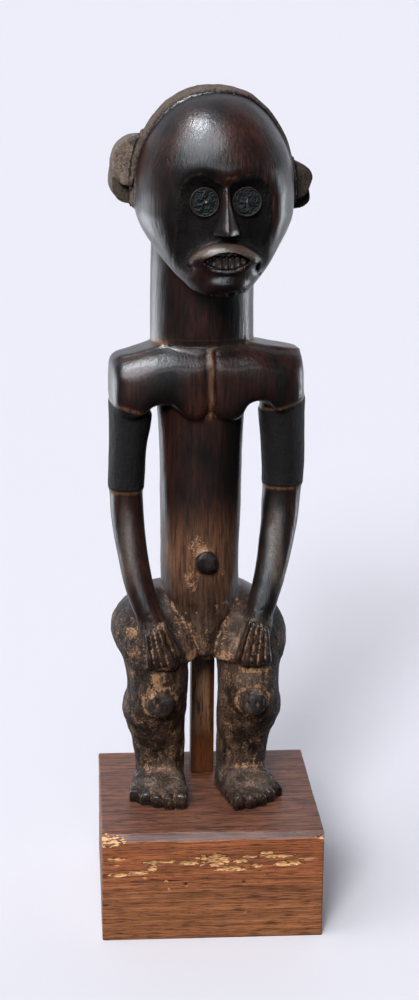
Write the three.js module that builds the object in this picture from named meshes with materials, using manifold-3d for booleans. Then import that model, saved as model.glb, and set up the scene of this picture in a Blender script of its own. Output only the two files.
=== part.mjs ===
// Guardian figure of a Fang reliquary, on its post and block. Millimetres, +Z up, front towards -Y.
// The origin is the centre of the block's underside. Left and right are the viewer's.

import * as THREE from 'three';
import { ParametricGeometry } from 'three/addons/geometries/ParametricGeometry.js';
import { mergeVertices } from 'three/addons/utils/BufferGeometryUtils.js';
import Module from 'manifold-3d';

const wasm = await Module();
wasm.setup();

// Driving dimensions

const BLOCK = { width: 165, depth: 157.6, height: 84.2 };
const GAP = 0.3; // air kept between pieces that touch
const SOLE = BLOCK.height + GAP; // the height of the soles
const POST = { x: -1.2, width: 18.2, front: 34, top: 195 };
const EYE = { radius: 10.4, out: 14.7, z: 544.5, front: -51.2, thick: 2.2, sides: 18 };
const TURN = { degrees: 5, x: -4, y: 18, from: 100, to: 250 }; // the body turns to the right as it rises
// The middle line's x by height: the carving leans a little to the right as it rises.
const MID = [
  [84, -4.3], [150, -3.9], [180, -4], [200, -4.6], [213, -5.8], [235, -7.5], [260, -7.5], [300, -5.3],
  [340, -3.6], [430, -2.5], [540, 0], [620, 0],
];

// Small mathematics

const clamp = (value, low, high) => Math.min(Math.max(value, low), high);

function smooth(low, high, value) {
  const t = clamp((value - low) / (high - low), 0, 1);
  return t * t * (3 - 2 * t);
}

// One column of a station table as a smooth curve that never overshoots. t counts stations from 0.
function curve(table, column, t) {
  const last = table.length - 1;
  const step = (i) => table[i + 1][column] - table[i][column];
  const slope = (i) => {
    if (i === 0) return step(0);
    if (i === last) return step(last - 1);
    const [a, b] = [step(i - 1), step(i)];
    return a * b <= 0 ? 0 : (2 * a * b) / (a + b);
  };
  const i = clamp(Math.floor(t), 0, last - 1);
  const s = t - i;
  const [s2, s3] = [s * s, s * s * s];
  return table[i][column] * (2 * s3 - 3 * s2 + 1) + table[i + 1][column] * (3 * s2 - 2 * s3)
    + slope(i) * (s3 - 2 * s2 + s) + slope(i + 1) * (s3 - s2);
}

// The middle line's x at a height, by straight steps between its points.
function middle(z) {
  const i = clamp(MID.findIndex(([height]) => height > z), 1, MID.length - 1);
  const [[z0, x0], [z1, x1]] = [MID[i - 1], MID[i]];
  return x0 + (x1 - x0) * clamp((z - z0) / (z1 - z0), 0, 1);
}

// A cosine or sine raised so that a circle becomes a squarer (power over 2) or sharper outline.
const squared = (value, power) => Math.sign(value) * Math.abs(value) ** (2 / power);

// The body's slow turn about its own axis, none at the feet and all of it from the hips up.
function turned(point) {
  const angle = THREE.MathUtils.degToRad(TURN.degrees) * smooth(TURN.from, TURN.to, point.z);
  const [x, y] = [point.x - TURN.x, point.y - TURN.y];
  point.x = TURN.x + x * Math.cos(angle) - y * Math.sin(angle);
  point.y = TURN.y + x * Math.sin(angle) + y * Math.cos(angle);
  return point;
}

// Solids

// A closed three.js geometry as a solid: shared vertices merged, collapsed triangles dropped.
function solid(geometry) {
  geometry.deleteAttribute('normal');
  geometry.deleteAttribute('uv');
  const merged = mergeVertices(geometry, 1e-3);
  const corners = merged.index.array;
  const faces = [];
  for (let i = 0; i < corners.length; i += 3) {
    const [a, b, c] = corners.slice(i, i + 3);
    if (a !== b && b !== c && c !== a) faces.push(a, b, c);
  }
  const positions = new Float32Array(merged.getAttribute('position').array);
  if (volume(positions, faces) < 0) faces.reverse();
  return new wasm.Manifold(new wasm.Mesh({
    numProp: 3, vertProperties: positions, triVerts: new Uint32Array(faces),
  }));
}

function volume(positions, faces) {
  const [a, b, c] = [new THREE.Vector3(), new THREE.Vector3(), new THREE.Vector3()];
  let sum = 0;
  for (let i = 0; i < faces.length; i += 3) {
    a.fromArray(positions, 3 * faces[i]);
    b.fromArray(positions, 3 * faces[i + 1]);
    c.fromArray(positions, 3 * faces[i + 2]);
    sum += a.dot(b.cross(c)) / 6;
  }
  return sum;
}

function geometryOf(shape) {
  const mesh = shape.getMesh();
  const geometry = new THREE.BufferGeometry();
  geometry.setAttribute('position', new THREE.BufferAttribute(new Float32Array(mesh.vertProperties), 3));
  geometry.setIndex(new THREE.BufferAttribute(new Uint32Array(mesh.triVerts), 1));
  geometry.computeVertexNormals();
  return geometry;
}

const joined = (shapes) => shapes.reduce((whole, shape) => whole.add(shape));

// A skin drawn through rows of points. pointAt(angle, t) takes the angle round from the front and
// the place t along a station table. Both ends are closed on the mean of their last row.
function skin(table, sides, rows, pointAt, density = 0) {
  const span = table.length - 1;
  const surface = (u, v, target) => {
    const row = Math.round(v * (rows + 2)) - 1;
    const t = clamp(row / rows, 0, 1) * span;
    const around = 2 * Math.PI * (u - 0.5);
    if (row >= 0 && row <= rows) {
      target.copy(pointAt(around - density * Math.sin(around), t));
      return;
    }
    const opposite = pointAt(Math.PI, t);
    target.copy(pointAt(0, t)).add(opposite).multiplyScalar(0.5);
  };
  const turnedSurface = (u, v, target) => {
    surface(u, v, target);
    turned(target);
  };
  return solid(new ParametricGeometry(turnedSurface, sides, rows + 2));
}

// A limb or trunk as a stack of level rounds. Columns: height, distance from the middle line,
// half width, front y, back y, squareness. side is -1 for left, 1 for right, 0 on the middle line.
function stack(table, side, sides, rows, relief = () => 0, density = 0) {
  const pointAt = (angle, t) => {
    const [z, out, half, front, back, power] = [0, 1, 2, 3, 4, 5].map((column) => curve(table, column, t));
    const x = middle(z) + (side === 0 ? out : side * out) + half * squared(Math.sin(angle), power);
    const depth = (back - front) / 2;
    const y = (back + front) / 2 - depth * squared(Math.cos(angle), power);
    return new THREE.Vector3(x, y + relief(x, z, angle), z);
  };
  return skin(table, sides, rows, pointAt, density);
}

// A form that lies across the body, drawn from left to right.
// Columns: x, lower edge, upper edge, front y, back y.
function bar(table, sides, rows, power) {
  const pointAt = (angle, t) => {
    const [x, low, high, front, back] = [0, 1, 2, 3, 4].map((column) => curve(table, column, t));
    const y = (front + back) / 2 - ((back - front) / 2) * squared(Math.cos(angle), power);
    const z = (low + high) / 2 + ((high - low) / 2) * squared(Math.sin(angle), power);
    return new THREE.Vector3(x, y, z);
  };
  return skin(table, sides, rows, pointAt);
}

// A three.js geometry stretched to its three radii, tipped, set in place and turned with the body.
function placed(geometry, centre, radii = [1, 1, 1], tilt = [0, 0, 0]) {
  geometry.scale(...radii);
  geometry.applyQuaternion(new THREE.Quaternion().setFromEuler(new THREE.Euler(...tilt)));
  geometry.translate(...centre);
  const positions = geometry.getAttribute('position');
  const point = new THREE.Vector3();
  for (let i = 0; i < positions.count; i += 1) {
    turned(point.fromBufferAttribute(positions, i));
    positions.setXYZ(i, point.x, point.y, point.z);
  }
  return solid(geometry);
}

const knob = (centre, radii, sides, rows) => placed(new THREE.SphereGeometry(1, sides, rows), centre, radii);

// A finger or toe: a capsule from one point to another, flattened or thickened upright.
function digit(start, end, radius, sides) {
  const [from, to] = [new THREE.Vector3(...start), new THREE.Vector3(...end)];
  const axis = to.clone().sub(from);
  const geometry = new THREE.CapsuleGeometry(radius, axis.length(), 2, sides);
  const upright = new THREE.Vector3(0, 1, 0);
  geometry.applyQuaternion(new THREE.Quaternion().setFromUnitVectors(upright, axis.normalize()));
  const centre = from.add(to).multiplyScalar(0.5);
  return placed(geometry, centre.toArray());
}

// A plate cut to a front view outline, running from the front y to the back y.
function plate(outline, front, back) {
  const run = { depth: back - front, bevelEnabled: false, curveSegments: 6 };
  const geometry = new THREE.ExtrudeGeometry(outline, run);
  geometry.rotateX(Math.PI / 2);
  return placed(geometry, [0, back, 0]);
}

// Head, with its hollow heart-shaped face

const HEAD = [
  [479, 0, 10, -54, -34, 2],
  [481.5, 0, 19, -58, -22, 2],
  [487, 0, 25.5, -60, -8, 2],
  [497, 0, 35.3, -60, 12, 2.1],
  [509, 0, 44.2, -58, 36, 2.2],
  [521, 0, 51.8, -56.5, 52, 2.3],
  [534, 0, 56, -56.5, 59, 2.35],
  [548, 0, 56.3, -57.5, 62, 2.3],
  [564, -0.3, 54.8, -57.5, 62, 2.15],
  [578, -0.6, 51.2, -54.5, 59, 2.05],
  [592, -0.8, 44.2, -47, 52, 2],
  [605, -0.8, 33.7, -35, 40, 2],
  [613, 0, 22, -21, 28, 2],
  [616.5, 0, 10, -8, 14, 2],
];
// The hollow is deepest within FACE.flat of its half width and lies under a brow line that dips
// over the nose and drops towards the ears. FACE.ledge is the height over which the brow turns in.
const FACE = { hollow: 6, brow: 566, dip: 5, drop: 20, ledge: 11, eye: 16, half: 44, flat: 0.45 };
const CHIN = { low: 505, high: 520 }; // heights between which the hollow dies away downwards
const UPPER = { z: 570, over: 45 };
const NOSE = [
  [522.5, 0, 9.2, -66.5, -46, 1.25],
  [525, 0, 9, -66.5, -46, 1.25],
  [532, 0, 6.8, -63.5, -46, 1.25],
  [542, 0, 4.2, -59.5, -46, 1.3],
  [554, 0, 3, -55.5, -46, 1.5],
];
const MOUTH = { z: 504.5, half: 17, rise: 7, drop: 5.5, back: -54.5 };
const TEETH = { count: 7, width: 3.8, depth: 6, long: 9.5, shorter: 5, front: -56, z: 503, bow: 2 };

// Lips, drawn from the left corner to the right one. Columns as in bar.
const LIPS = [
  [-26, 504, 506, -47, -40],
  [-20, 500.5, 511, -56, -40],
  [-10, 496, 515.5, -62.5, -40],
  [0, 494.5, 517, -65, -40],
  [10, 496, 515.5, -62.5, -40],
  [20, 500.5, 511, -56, -40],
  [26, 504, 506, -47, -40],
];

// How far the face is pressed in below the brow.
function faceRelief(x, z, angle) {
  if (Math.cos(angle) < 0.1) return 0;
  const off = Math.abs(x - middle(z));
  const inner = Math.max(1 - off / FACE.eye, 0);
  const outer = Math.max(off - FACE.eye, 0) / (FACE.half - FACE.eye);
  const brow = FACE.brow - FACE.dip * inner ** 2 - FACE.drop * outer ** 2;
  return FACE.hollow * (1 - smooth(FACE.flat * FACE.half, FACE.half, off))
    * smooth(brow, brow - FACE.ledge, z) * smooth(CHIN.low, CHIN.high, z);
}

function lens(half, rise, drop, z) {
  const outline = new THREE.Shape();
  outline.moveTo(-half, z);
  outline.quadraticCurveTo(0, z + 2 * rise, half, z);
  outline.quadraticCurveTo(0, z - 2 * drop, -half, z);
  return outline;
}

// The head, or a skin that stands proud of it by grow. The upper part grows upwards as well.
function headSolid(grow, sides, rows) {
  const grown = HEAD.map(([z, out, half, front, back, power]) => [
    z + grow * clamp((z - UPPER.z) / UPPER.over, -0.3, 1), out, half + grow, front - grow, back + grow, power,
  ]);
  return stack(grown, 0, sides, rows, grow > 0 ? undefined : faceRelief, grow > 0 ? 0 : 0.4);
}

// Coiffure: a cap behind a raised rim that runs over the crown from tress to tress

const CAP = { proud: 2, half: 80, back: 90 };
const RIM = { proud: 2.8, thick: 3.4, low: 534, high: 632, bottom: 2, top: -16 };

// Tresses: a front step and a longer one behind it, each cut to an outline of its own.
// Distances of root, foot, shoulder and outer edge are from the middle line. An end is its top, its
// bottom and how far up its outer corner is rounded.
const TRESS = { root: 38, foot: 58, shoulder: 56, outer: 72.3 };
const TRESS_DEPTH = { front: 3, step: 12, middle: 26, back: 38 };
const TRESS_ENDS = [
  { side: -1, front: [585, 549, 12], step: [574, 536, 12] },
  { side: 1, front: [567, 539, 14], step: [560, 531, 6] },
];

// A block of space between two upright planes that lean as the rim leans.
function leaning(frontOffset, backOffset, halfWidth, low) {
  const outline = new THREE.Shape();
  outline.moveTo(RIM.bottom + frontOffset, low);
  outline.lineTo(RIM.bottom + backOffset, low);
  outline.lineTo(RIM.top + backOffset, RIM.high);
  outline.lineTo(RIM.top + frontOffset, RIM.high);
  outline.closePath();
  const geometry = new THREE.ExtrudeGeometry(outline, { depth: 2 * halfWidth, bevelEnabled: false });
  geometry.applyMatrix4(new THREE.Matrix4().makeBasis(
    new THREE.Vector3(0, 1, 0), new THREE.Vector3(0, 0, 1), new THREE.Vector3(1, 0, 0),
  ));
  return placed(geometry, [-halfWidth, 0, 0]);
}

// A tress from the front: level below, rounded at its outer end and closed against the head.
function tressOutline(side, [top, bottom, round]) {
  const x = (out) => middle(bottom) + side * out;
  const outline = new THREE.Shape();
  outline.moveTo(x(TRESS.root), bottom + 4);
  outline.lineTo(x(TRESS.foot), bottom);
  outline.quadraticCurveTo(x(TRESS.outer - 4), bottom - 1, x(TRESS.outer), bottom + round);
  outline.quadraticCurveTo(x(TRESS.outer + 1), top - 4, x(TRESS.shoulder), top);
  outline.lineTo(x(TRESS.root), top);
  outline.closePath();
  return outline;
}

// A square-cut tooth, shorter and further back towards the corner of the mouth.
function tooth(x) {
  const away = (x / MOUTH.half) ** 2;
  const peg = new THREE.BoxGeometry(TEETH.width, TEETH.depth, TEETH.long - TEETH.shorter * away);
  return placed(peg, [x, TEETH.front + TEETH.bow * away, TEETH.z]);
}

const SOCKET = 20; // how far an eye's seat is cut forward, past the face

function headWithCoiffure() {
  const cap = headSolid(CAP.proud, 22, 12).intersect(leaning(0, CAP.back, CAP.half, RIM.low));
  const rim = headSolid(RIM.proud, 22, 12).intersect(leaning(0, RIM.thick, CAP.half, RIM.low));
  const tresses = TRESS_ENDS.flatMap(({ side, front, step }) => [
    plate(tressOutline(side, front), TRESS_DEPTH.front, TRESS_DEPTH.middle),
    plate(tressOutline(side, step), TRESS_DEPTH.step, TRESS_DEPTH.back),
  ]);
  const features = [stack(NOSE, 0, 8, 4), bar(LIPS, 12, 12, 2.3)];
  const bare = joined([headSolid(0, 30, 20), ...features, cap, rim, ...tresses]);
  const opening = plate(lens(MOUTH.half, MOUTH.rise, MOUTH.drop, MOUTH.z), -90, MOUTH.back);
  const pitch = (2 * MOUTH.half) / (TEETH.count + 1);
  const teeth = [];
  for (let i = 0; i < TEETH.count; i += 1) teeth.push(tooth(pitch * (i - (TEETH.count - 1) / 2)));
  let head = bare.subtract(opening).add(joined(teeth));
  for (const side of [-1, 1]) {
    const socket = new THREE.CylinderGeometry(EYE.radius + GAP, EYE.radius + GAP, SOCKET, EYE.sides);
    head = head.subtract(placed(socket, [side * EYE.out, EYE.front + EYE.thick + GAP - SOCKET / 2, EYE.z]));
  }
  return head;
}

// Trunk: neck, torso and chest

const NECK = [
  [398, -2.2, 34.6, -2, 46, 2.3],
  [414, -2.2, 36.6, -5, 50, 2.2],
  [430, -2.2, 38.2, -9, 54.5, 2.1],
  [470, -3.1, 38, -9, 56, 2.1],
  [505, -3.8, 37.5, -8, 56, 2.1],
  [545, -5, 36, -4, 56, 2.1],
];
const TORSO = [
  [194.5, 3, 5, -8.5, 10, 2],
  [198, 2.8, 9, -12, 26, 2],
  [207, 2.3, 13.5, -15, 46, 2],
  [220, 2.2, 20.5, -15, 50, 2.1],
  [233, 2.2, 27, -14.5, 49, 2.2],
  [250, 1.8, 29.2, -14, 46, 2.3],
  [275, 0.3, 29.3, -13, 43, 2.3],
  [310, -1, 30.2, -11, 42, 2.3],
  [345, -2, 30.6, -9, 44, 2.3],
  [375, -2.3, 31.9, -8, 47, 2.3],
  [402, -2.6, 34, -7, 48, 2.3],
  [426, -2.8, 36, -5, 50, 2.3],
];

// Chest and shoulders, a slab drawn from the left shoulder to the right one.
// Columns: x, lower edge, upper edge, front y, back y.
const CHEST = [
  [-74, 396, 413, 6, 26],
  [-72.5, 389, 421.5, -4, 34],
  [-68, 384, 426.5, -10, 38],
  [-58, 380, 429, -12.5, 41],
  [-48, 385, 432, -13.5, 42],
  [-41, 388.5, 434, -14, 43],
  [-32.5, 388.5, 435.5, -14, 44],
  [-25, 382.5, 436, -14.2, 46],
  [-17, 379, 436, -14.5, 46],
  [-10, 379, 436, -14.5, 46],
  [-2.7, 386, 436, -13.3, 46],
  [5, 379.3, 436, -14.5, 46],
  [13.5, 378.5, 436, -14.5, 46],
  [20.5, 380.5, 436, -14.2, 46],
  [26, 388, 436, -14, 44],
  [33, 390.5, 435, -14, 43],
  [40, 388.5, 433.5, -13.5, 42],
  [50, 382.5, 431.7, -12.5, 41],
  [60, 386, 430, -10, 38],
  [67, 390, 428, -4, 34],
  [69.5, 398, 419, 6, 26],
];
const STERNUM = { x: -2.7, y: -14.5, low: 380, high: 434, half: 1.6 };
const NAVEL = { centre: [-5.8, -13, 273], radii: [8.2, 7.5, 9.8] };

function trunk() {
  const groove = new THREE.CylinderGeometry(STERNUM.half, STERNUM.half, STERNUM.high - STERNUM.low, 4);
  groove.rotateX(Math.PI / 2);
  const body = joined([stack(TORSO, 0, 18, 11), bar(CHEST, 12, 26, 4.2), stack(NECK, 0, 20, 4)]);
  return body
    .subtract(placed(groove, [STERNUM.x, STERNUM.y, (STERNUM.low + STERNUM.high) / 2]))
    .add(knob(NAVEL.centre, NAVEL.radii, 10, 6));
}

// Arms: upper arm in a sleeve, bent forearm, hand laid on the thigh

// Columns: height, then distance from the middle line and half width of the left arm and the same of
// the right one, then front y, back y, squareness.
const ARM = [
  [214, 36.5, 9.5, 36.9, 9.5, -32, -16, 2.6],
  [226, 39, 10.6, 39.5, 10.6, -31, -12, 2.4],
  [233, 40.6, 10.5, 41.2, 10.7, -29, -9, 2.2],
  [245, 44.4, 10.8, 45.3, 11.2, -26, -5, 2.1],
  [259, 48.3, 11.1, 50.2, 11.9, -21, 1, 2],
  [273, 51.3, 11.3, 53.7, 12.6, -15, 7, 2],
  [287, 53.9, 11.7, 56.3, 13.5, -9, 13, 2],
  [301, 56, 12.2, 58.6, 14.1, -4, 19, 2],
  [315, 57.2, 12.4, 59.5, 14.5, -1, 25, 2.1],
  [330, 57.9, 12.5, 60.3, 14.5, 0, 29, 2.2],
  [353, 57.5, 12.7, 59.4, 15.2, -2, 31, 2.2],
  [376, 56.1, 14.2, 57.9, 15.7, -4, 32, 2.2],
  [398, 55.6, 16, 56.8, 16.9, -6, 34, 2.2],
];
const SLEEVE = { low: 326, high: 388, proud: 1.1, tilt: 0.3, tiltOver: 32 };
const HAND = [
  [196, 33.5, 9.5, -32, -20, 2.6],
  [204, 33.8, 11.5, -33, -19, 2.6],
  [216, 35.8, 10.8, -33, -16, 2.6],
  [230, 39, 9.8, -30, -12, 2.4],
];
// Fingers run side by side down the back of the hand. Pairs give the outermost and innermost values.
const FINGER = { count: 5, radius: 2.7, top: [44.5, 32.5], tip: [44, 22.5], high: [224, 230], low: 203.5 };
const FINGER_FRONT = { top: -31, tip: -33 };
const THUMB = { shorter: [8, 2], inward: [0, 2.2] }; // for the left and the right hand

const armTable = (side) => ARM.map(([z, outLeft, halfLeft, outRight, halfRight, ...depth]) => [
  z, ...(side < 0 ? [outLeft, halfLeft] : [outRight, halfRight]), ...depth,
]);

// The row of a station table at a height, found by walking its stations.
function rowAt(table, z) {
  let t = 0;
  while (t < table.length - 1 && curve(table, 0, t) < z) t += 0.02;
  return table[0].map((value, column) => curve(table, column, t));
}

function sleeve(side) {
  const heights = [0, 0.25, 0.5, 0.75, 1].map((part) => SLEEVE.low + part * (SLEEVE.high - SLEEVE.low));
  const table = heights.map((z) => {
    const [, out, half, front, back, power] = rowAt(armTable(side), z);
    return [z, out, half + SLEEVE.proud, front - SLEEVE.proud, back + SLEEVE.proud, power];
  });
  const pointAt = (angle, t) => {
    const [z, out, half, front, back, power] = [0, 1, 2, 3, 4, 5].map((column) => curve(table, column, t));
    const across = half * squared(Math.sin(angle), power);
    const y = (back + front) / 2 - ((back - front) / 2) * squared(Math.cos(angle), power);
    const rise = side * across * SLEEVE.tilt * smooth(SLEEVE.high - SLEEVE.tiltOver, SLEEVE.high, z);
    return new THREE.Vector3(middle(z) + side * out + across, y, z + rise);
  };
  return skin(table, 12, 4, pointAt);
}

function fingers(side) {
  const shapes = [];
  for (let i = 0; i < FINGER.count; i += 1) {
    const part = i / (FINGER.count - 1);
    const mix = ([a, b]) => a + (b - a) * part;
    const hand = side < 0 ? 0 : 1;
    const thumb = part === 1 ? 1 : 0;
    const low = FINGER.low + thumb * THUMB.shorter[hand];
    const start = [middle(FINGER.high[0]) + side * mix(FINGER.top), FINGER_FRONT.top, mix(FINGER.high)];
    const out = mix(FINGER.tip) - thumb * THUMB.inward[hand];
    const end = [middle(FINGER.low) + side * out, FINGER_FRONT.tip, low];
    shapes.push(digit(start, end, FINGER.radius, 6));
  }
  return shapes;
}

function arm(side) {
  const upper = stack(armTable(side), side, 12, 13);
  return joined([upper, sleeve(side), stack(HAND, side, 10, 3), ...fingers(side)]);
}

// Legs: buttock, short bent leg with kneecap, calf and broad flat foot

// Columns: height, inner and outer edge from the middle line, front y, back y, squareness.
const LEG_EDGES = [
  [90, 12.8, 50, -2, 32, 2.2],
  [103, 12.4, 50.5, 1, 31, 2.2],
  [115, 12.4, 51.8, 0, 32, 2.2],
  [127, 12.5, 54, -5, 36, 2.2],
  [140, 12.4, 58.5, -12, 40, 2.2],
  [150, 12, 61, -17, 41, 2.2],
  [159, 12, 60, -23, 38, 2.3],
  [168, 12, 57.9, -26, 35, 2.3],
  [178, 11.6, 57.6, -27.5, 38, 2.3],
  [188, 11.4, 58.8, -28, 46, 2.3],
  [196, 11, 62, -27, 54, 2.3],
  [198.5, 1, 63.2, -26.5, 57, 2.3],
  [205, -1, 65.6, -24.5, 61.5, 2.3],
  [212, -1, 66.8, -22, 64, 2.2],
  [219, -1, 65.3, -18, 63.5, 2.1],
  [226, 0, 61.5, -13.5, 61, 2],
  [233, 2, 55, -8, 57, 2],
  [240, 6, 46, 1, 50, 2],
  [246, 14, 36, 12, 40, 2],
];
const LEG = LEG_EDGES.map(([z, inner, outer, front, back, power]) => [
  z, (inner + outer) / 2, (outer - inner) / 2, front, back, power,
]);
const KNEE = { z: 167, out: 35.7, y: -26, radii: [9.8, 4.6, 8.6] };

// Columns: y, middle of the foot from the middle line, half width, height. From toes to heel.
const FOOT = [
  [-27, 24, 6, 9],
  [-25.5, 28, 12, 10.5],
  [-18, 32.5, 19, 12],
  [-8, 33.8, 21.3, 15],
  [4, 33.5, 21, 18.5],
  [16, 32.5, 19.8, 19.5],
  [27, 32, 17, 18.5],
  [33.5, 31.5, 12, 15],
  [35.5, 31.5, 6, 11],
];
const FEET = [
  { side: -1, across: 1, forward: -1, swing: 0 },
  { side: 1, across: -2.3, forward: -3, swing: 12 },
];
const ANKLE = [32, 20]; // the point that a foot swings about

// Toe tips lie on a bow from the big toe, first, to the small toe, last. A toe is big, then small.
const TOES = { count: 5, first: [18.5, -28.5], last: [52.5, -13], bulge: 3.5, big: 5.3, small: 4.6, gap: 1 };
const TOE_ROOT = { inward: 2, back: 12, up: 2 };

function foot({ side, across, forward, swing }) {
  const swinging = (point) => {
    const angle = THREE.MathUtils.degToRad(swing);
    const [x, y] = [point.x - side * ANKLE[0], point.y - ANKLE[1]];
    point.x = side * ANKLE[0] + x * Math.cos(angle) - y * Math.sin(angle) + middle(SOLE) + across;
    point.y = ANKLE[1] + x * Math.sin(angle) + y * Math.cos(angle) + forward;
    return point;
  };
  const pointAt = (angle, t) => {
    const [y, out, half, height] = [0, 1, 2, 3].map((column) => curve(FOOT, column, t));
    const sideways = half * squared(Math.sin(angle), 3);
    const up = height * squared(Math.cos(angle), 2.6);
    return swinging(new THREE.Vector3(side * out + sideways, y, SOLE + Math.max(up, 0)));
  };
  const shapes = [skin(FOOT, 14, 9, pointAt)];
  for (let i = 0; i < TOES.count; i += 1) {
    const part = i / (TOES.count - 1);
    const radius = TOES.big + (TOES.small - TOES.big) * Math.min(3 * part, 1);
    const x = TOES.first[0] + (TOES.last[0] - TOES.first[0]) * part + (i > 0 ? TOES.gap : 0);
    const bow = TOES.bulge * Math.sin(Math.PI * part);
    const y = TOES.first[1] + (TOES.last[1] - TOES.first[1]) * part ** 1.3 - bow;
    const tip = swinging(new THREE.Vector3(side * x, y, SOLE + radius));
    const up = SOLE + radius + TOE_ROOT.up;
    const root = new THREE.Vector3(side * (x - TOE_ROOT.inward), y + TOE_ROOT.back, up);
    shapes.push(digit(swinging(root).toArray(), tip.toArray(), radius, 6));
  }
  return joined(shapes);
}

function leg(place) {
  const { side } = place;
  const kneecap = knob([middle(KNEE.z) + side * KNEE.out, KNEE.y, KNEE.z], KNEE.radii, 10, 4);
  return joined([stack(LEG, side, 14, 18), kneecap, foot(place)]);
}

// Stand

function box(x, y, z, width, depth, height) {
  const geometry = new THREE.BoxGeometry(width, depth, height);
  geometry.translate(x, y, z + height / 2);
  return geometry;
}

function postBox(clearance) {
  const side = POST.width + 2 * clearance;
  const height = POST.top - SOLE + 2 * clearance;
  return box(POST.x, POST.front + POST.width / 2, SOLE - clearance, side, side, height);
}

// The figure, one piece of wood, with a seat for the post and level soles

function figure() {
  const carving = joined([headWithCoiffure(), trunk(), ...[-1, 1].map(arm), ...FEET.map(leg)]);
  const below = box(0, 0, 0, 2 * BLOCK.width, 2 * BLOCK.depth, SOLE);
  return geometryOf(carving.subtract(solid(postBox(GAP))).subtract(solid(below)));
}

function eyeDisc(side) {
  const disc = new THREE.CylinderGeometry(EYE.radius, EYE.radius, EYE.thick, EYE.sides);
  return geometryOf(placed(disc, [side * EYE.out, EYE.front + EYE.thick / 2, EYE.z]));
}

const group = new THREE.Group();

function add(name, geometry, colour, roughness, metalness) {
  const material = new THREE.MeshStandardMaterial({ color: colour, roughness, metalness });
  const mesh = new THREE.Mesh(geometry, material);
  mesh.name = name;
  group.add(mesh);
}

add('base_block', box(0, 0, 0, BLOCK.width, BLOCK.depth, BLOCK.height), 0x7a4a30, 0.5, 0);
add('support_post', postBox(0), 0x5a4028, 0.6, 0);
add('figure', figure(), 0x2b1a15, 0.3, 0);
add('eye_disc_left', eyeDisc(-1), 0x15181b, 0.5, 0.1);
add('eye_disc_right', eyeDisc(1), 0x15181b, 0.5, 0.1);

export default group;
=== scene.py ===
# Guardian figure of a Fang reliquary on its post and block. Metres, +Z up, front towards -Y.
# Left and right are the viewer's. Sizes of the carving are tables in millimetres.
from functools import partial

import bpy
import numpy as np
from mathutils import Matrix, Vector


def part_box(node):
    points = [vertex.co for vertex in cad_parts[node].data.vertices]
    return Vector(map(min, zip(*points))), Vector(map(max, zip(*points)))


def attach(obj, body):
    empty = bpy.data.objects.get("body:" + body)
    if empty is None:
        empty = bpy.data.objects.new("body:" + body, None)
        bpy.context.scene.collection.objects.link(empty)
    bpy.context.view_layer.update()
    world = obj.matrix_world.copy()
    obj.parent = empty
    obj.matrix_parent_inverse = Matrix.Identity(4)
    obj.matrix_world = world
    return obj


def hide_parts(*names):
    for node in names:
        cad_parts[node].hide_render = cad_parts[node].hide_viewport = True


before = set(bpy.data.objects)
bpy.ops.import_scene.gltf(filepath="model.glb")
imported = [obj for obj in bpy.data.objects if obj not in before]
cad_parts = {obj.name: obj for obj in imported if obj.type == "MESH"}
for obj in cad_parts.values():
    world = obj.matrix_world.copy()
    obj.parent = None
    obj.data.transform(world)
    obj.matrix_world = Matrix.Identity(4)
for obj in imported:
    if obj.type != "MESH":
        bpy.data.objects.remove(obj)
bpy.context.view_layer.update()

MM = 0.001

# Camera, a little left of the middle and well above the figure, looking down on it

CAMERA_PLACE = (-101.3, -1407, 717)
CAMERA_YAW, CAMERA_PITCH, CAMERA_ROLL = 0.0720, 0.2757, 0.0094  # radians: right, down, over to the left
LENS, SENSOR = 71.16, 36


def camera_axes(yaw, pitch, roll):
    """Right, up and backward directions of a camera that looks along +Y, then turns by yaw to the
    right, pitches down, and rolls."""
    ahead = np.array([np.sin(yaw) * np.cos(pitch), np.cos(yaw) * np.cos(pitch), -np.sin(pitch)])
    right = np.array([np.cos(yaw), -np.sin(yaw), 0])
    up = np.cross(right, ahead)
    return np.cos(roll) * right + np.sin(roll) * up, np.cos(roll) * up - np.sin(roll) * right, -ahead


camera = bpy.data.objects.new("camera", bpy.data.cameras.new("camera"))
camera.data.lens = LENS
camera.data.sensor_width = SENSOR
camera.data.clip_end = 100
axes = np.column_stack(camera_axes(CAMERA_YAW, CAMERA_PITCH, CAMERA_ROLL))
camera.matrix_world = Matrix.LocRotScale(Vector(CAMERA_PLACE) * MM, Matrix(axes).to_quaternion(), None)
bpy.context.scene.collection.objects.link(camera)
bpy.context.scene.camera = camera

# Base block: a squared oak offcut, stained red brown and waxed, its top front edge worn to a bevel.
# Its front has lost flakes of stain along the grain, and two old nail holes show below them.

BLOCK_STEPS = (200, 70, 100)  # faces of the mesh along x, y and z
EDGE_ROUND = 1.2
BEVEL_TOP, BEVEL_FRONT = 7, 4.6  # how far the worn front edge reaches back and down
# Flakes lost from the front: x, z, half length, half height
FLAKES = [
    (-73, 66, 8, 1.1), (-41, 63, 13, 1.3), (-45, 59.5, 3.4, 3.6), (-18, 62, 7, 1.6), (-8.5, 66, 3.6, 2.2),
    (-8.5, 61.5, 2.6, 1.8), (3.5, 63.5, 8.2, 5.2), (19, 62.5, 5.4, 1.7), (27, 66, 5, 1.4), (39, 68.5, 5, 1.2),
    (45, 65.8, 14, 1.2), (13, 56.5, 12, 2.1), (32, 58.5, 4.5, 1.5), (55, 60, 10, 2.2), (70, 63, 7, 0.9),
    (-70, 53.5, 8, 1.3), (-57, 55, 7, 1.6), (-51, 50.5, 2, 1), (-35, 47.5, 1.3, 1.6), (-33, 40, 1.2, 2),
    (-74, 61, 5, 0.7),
]
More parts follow.
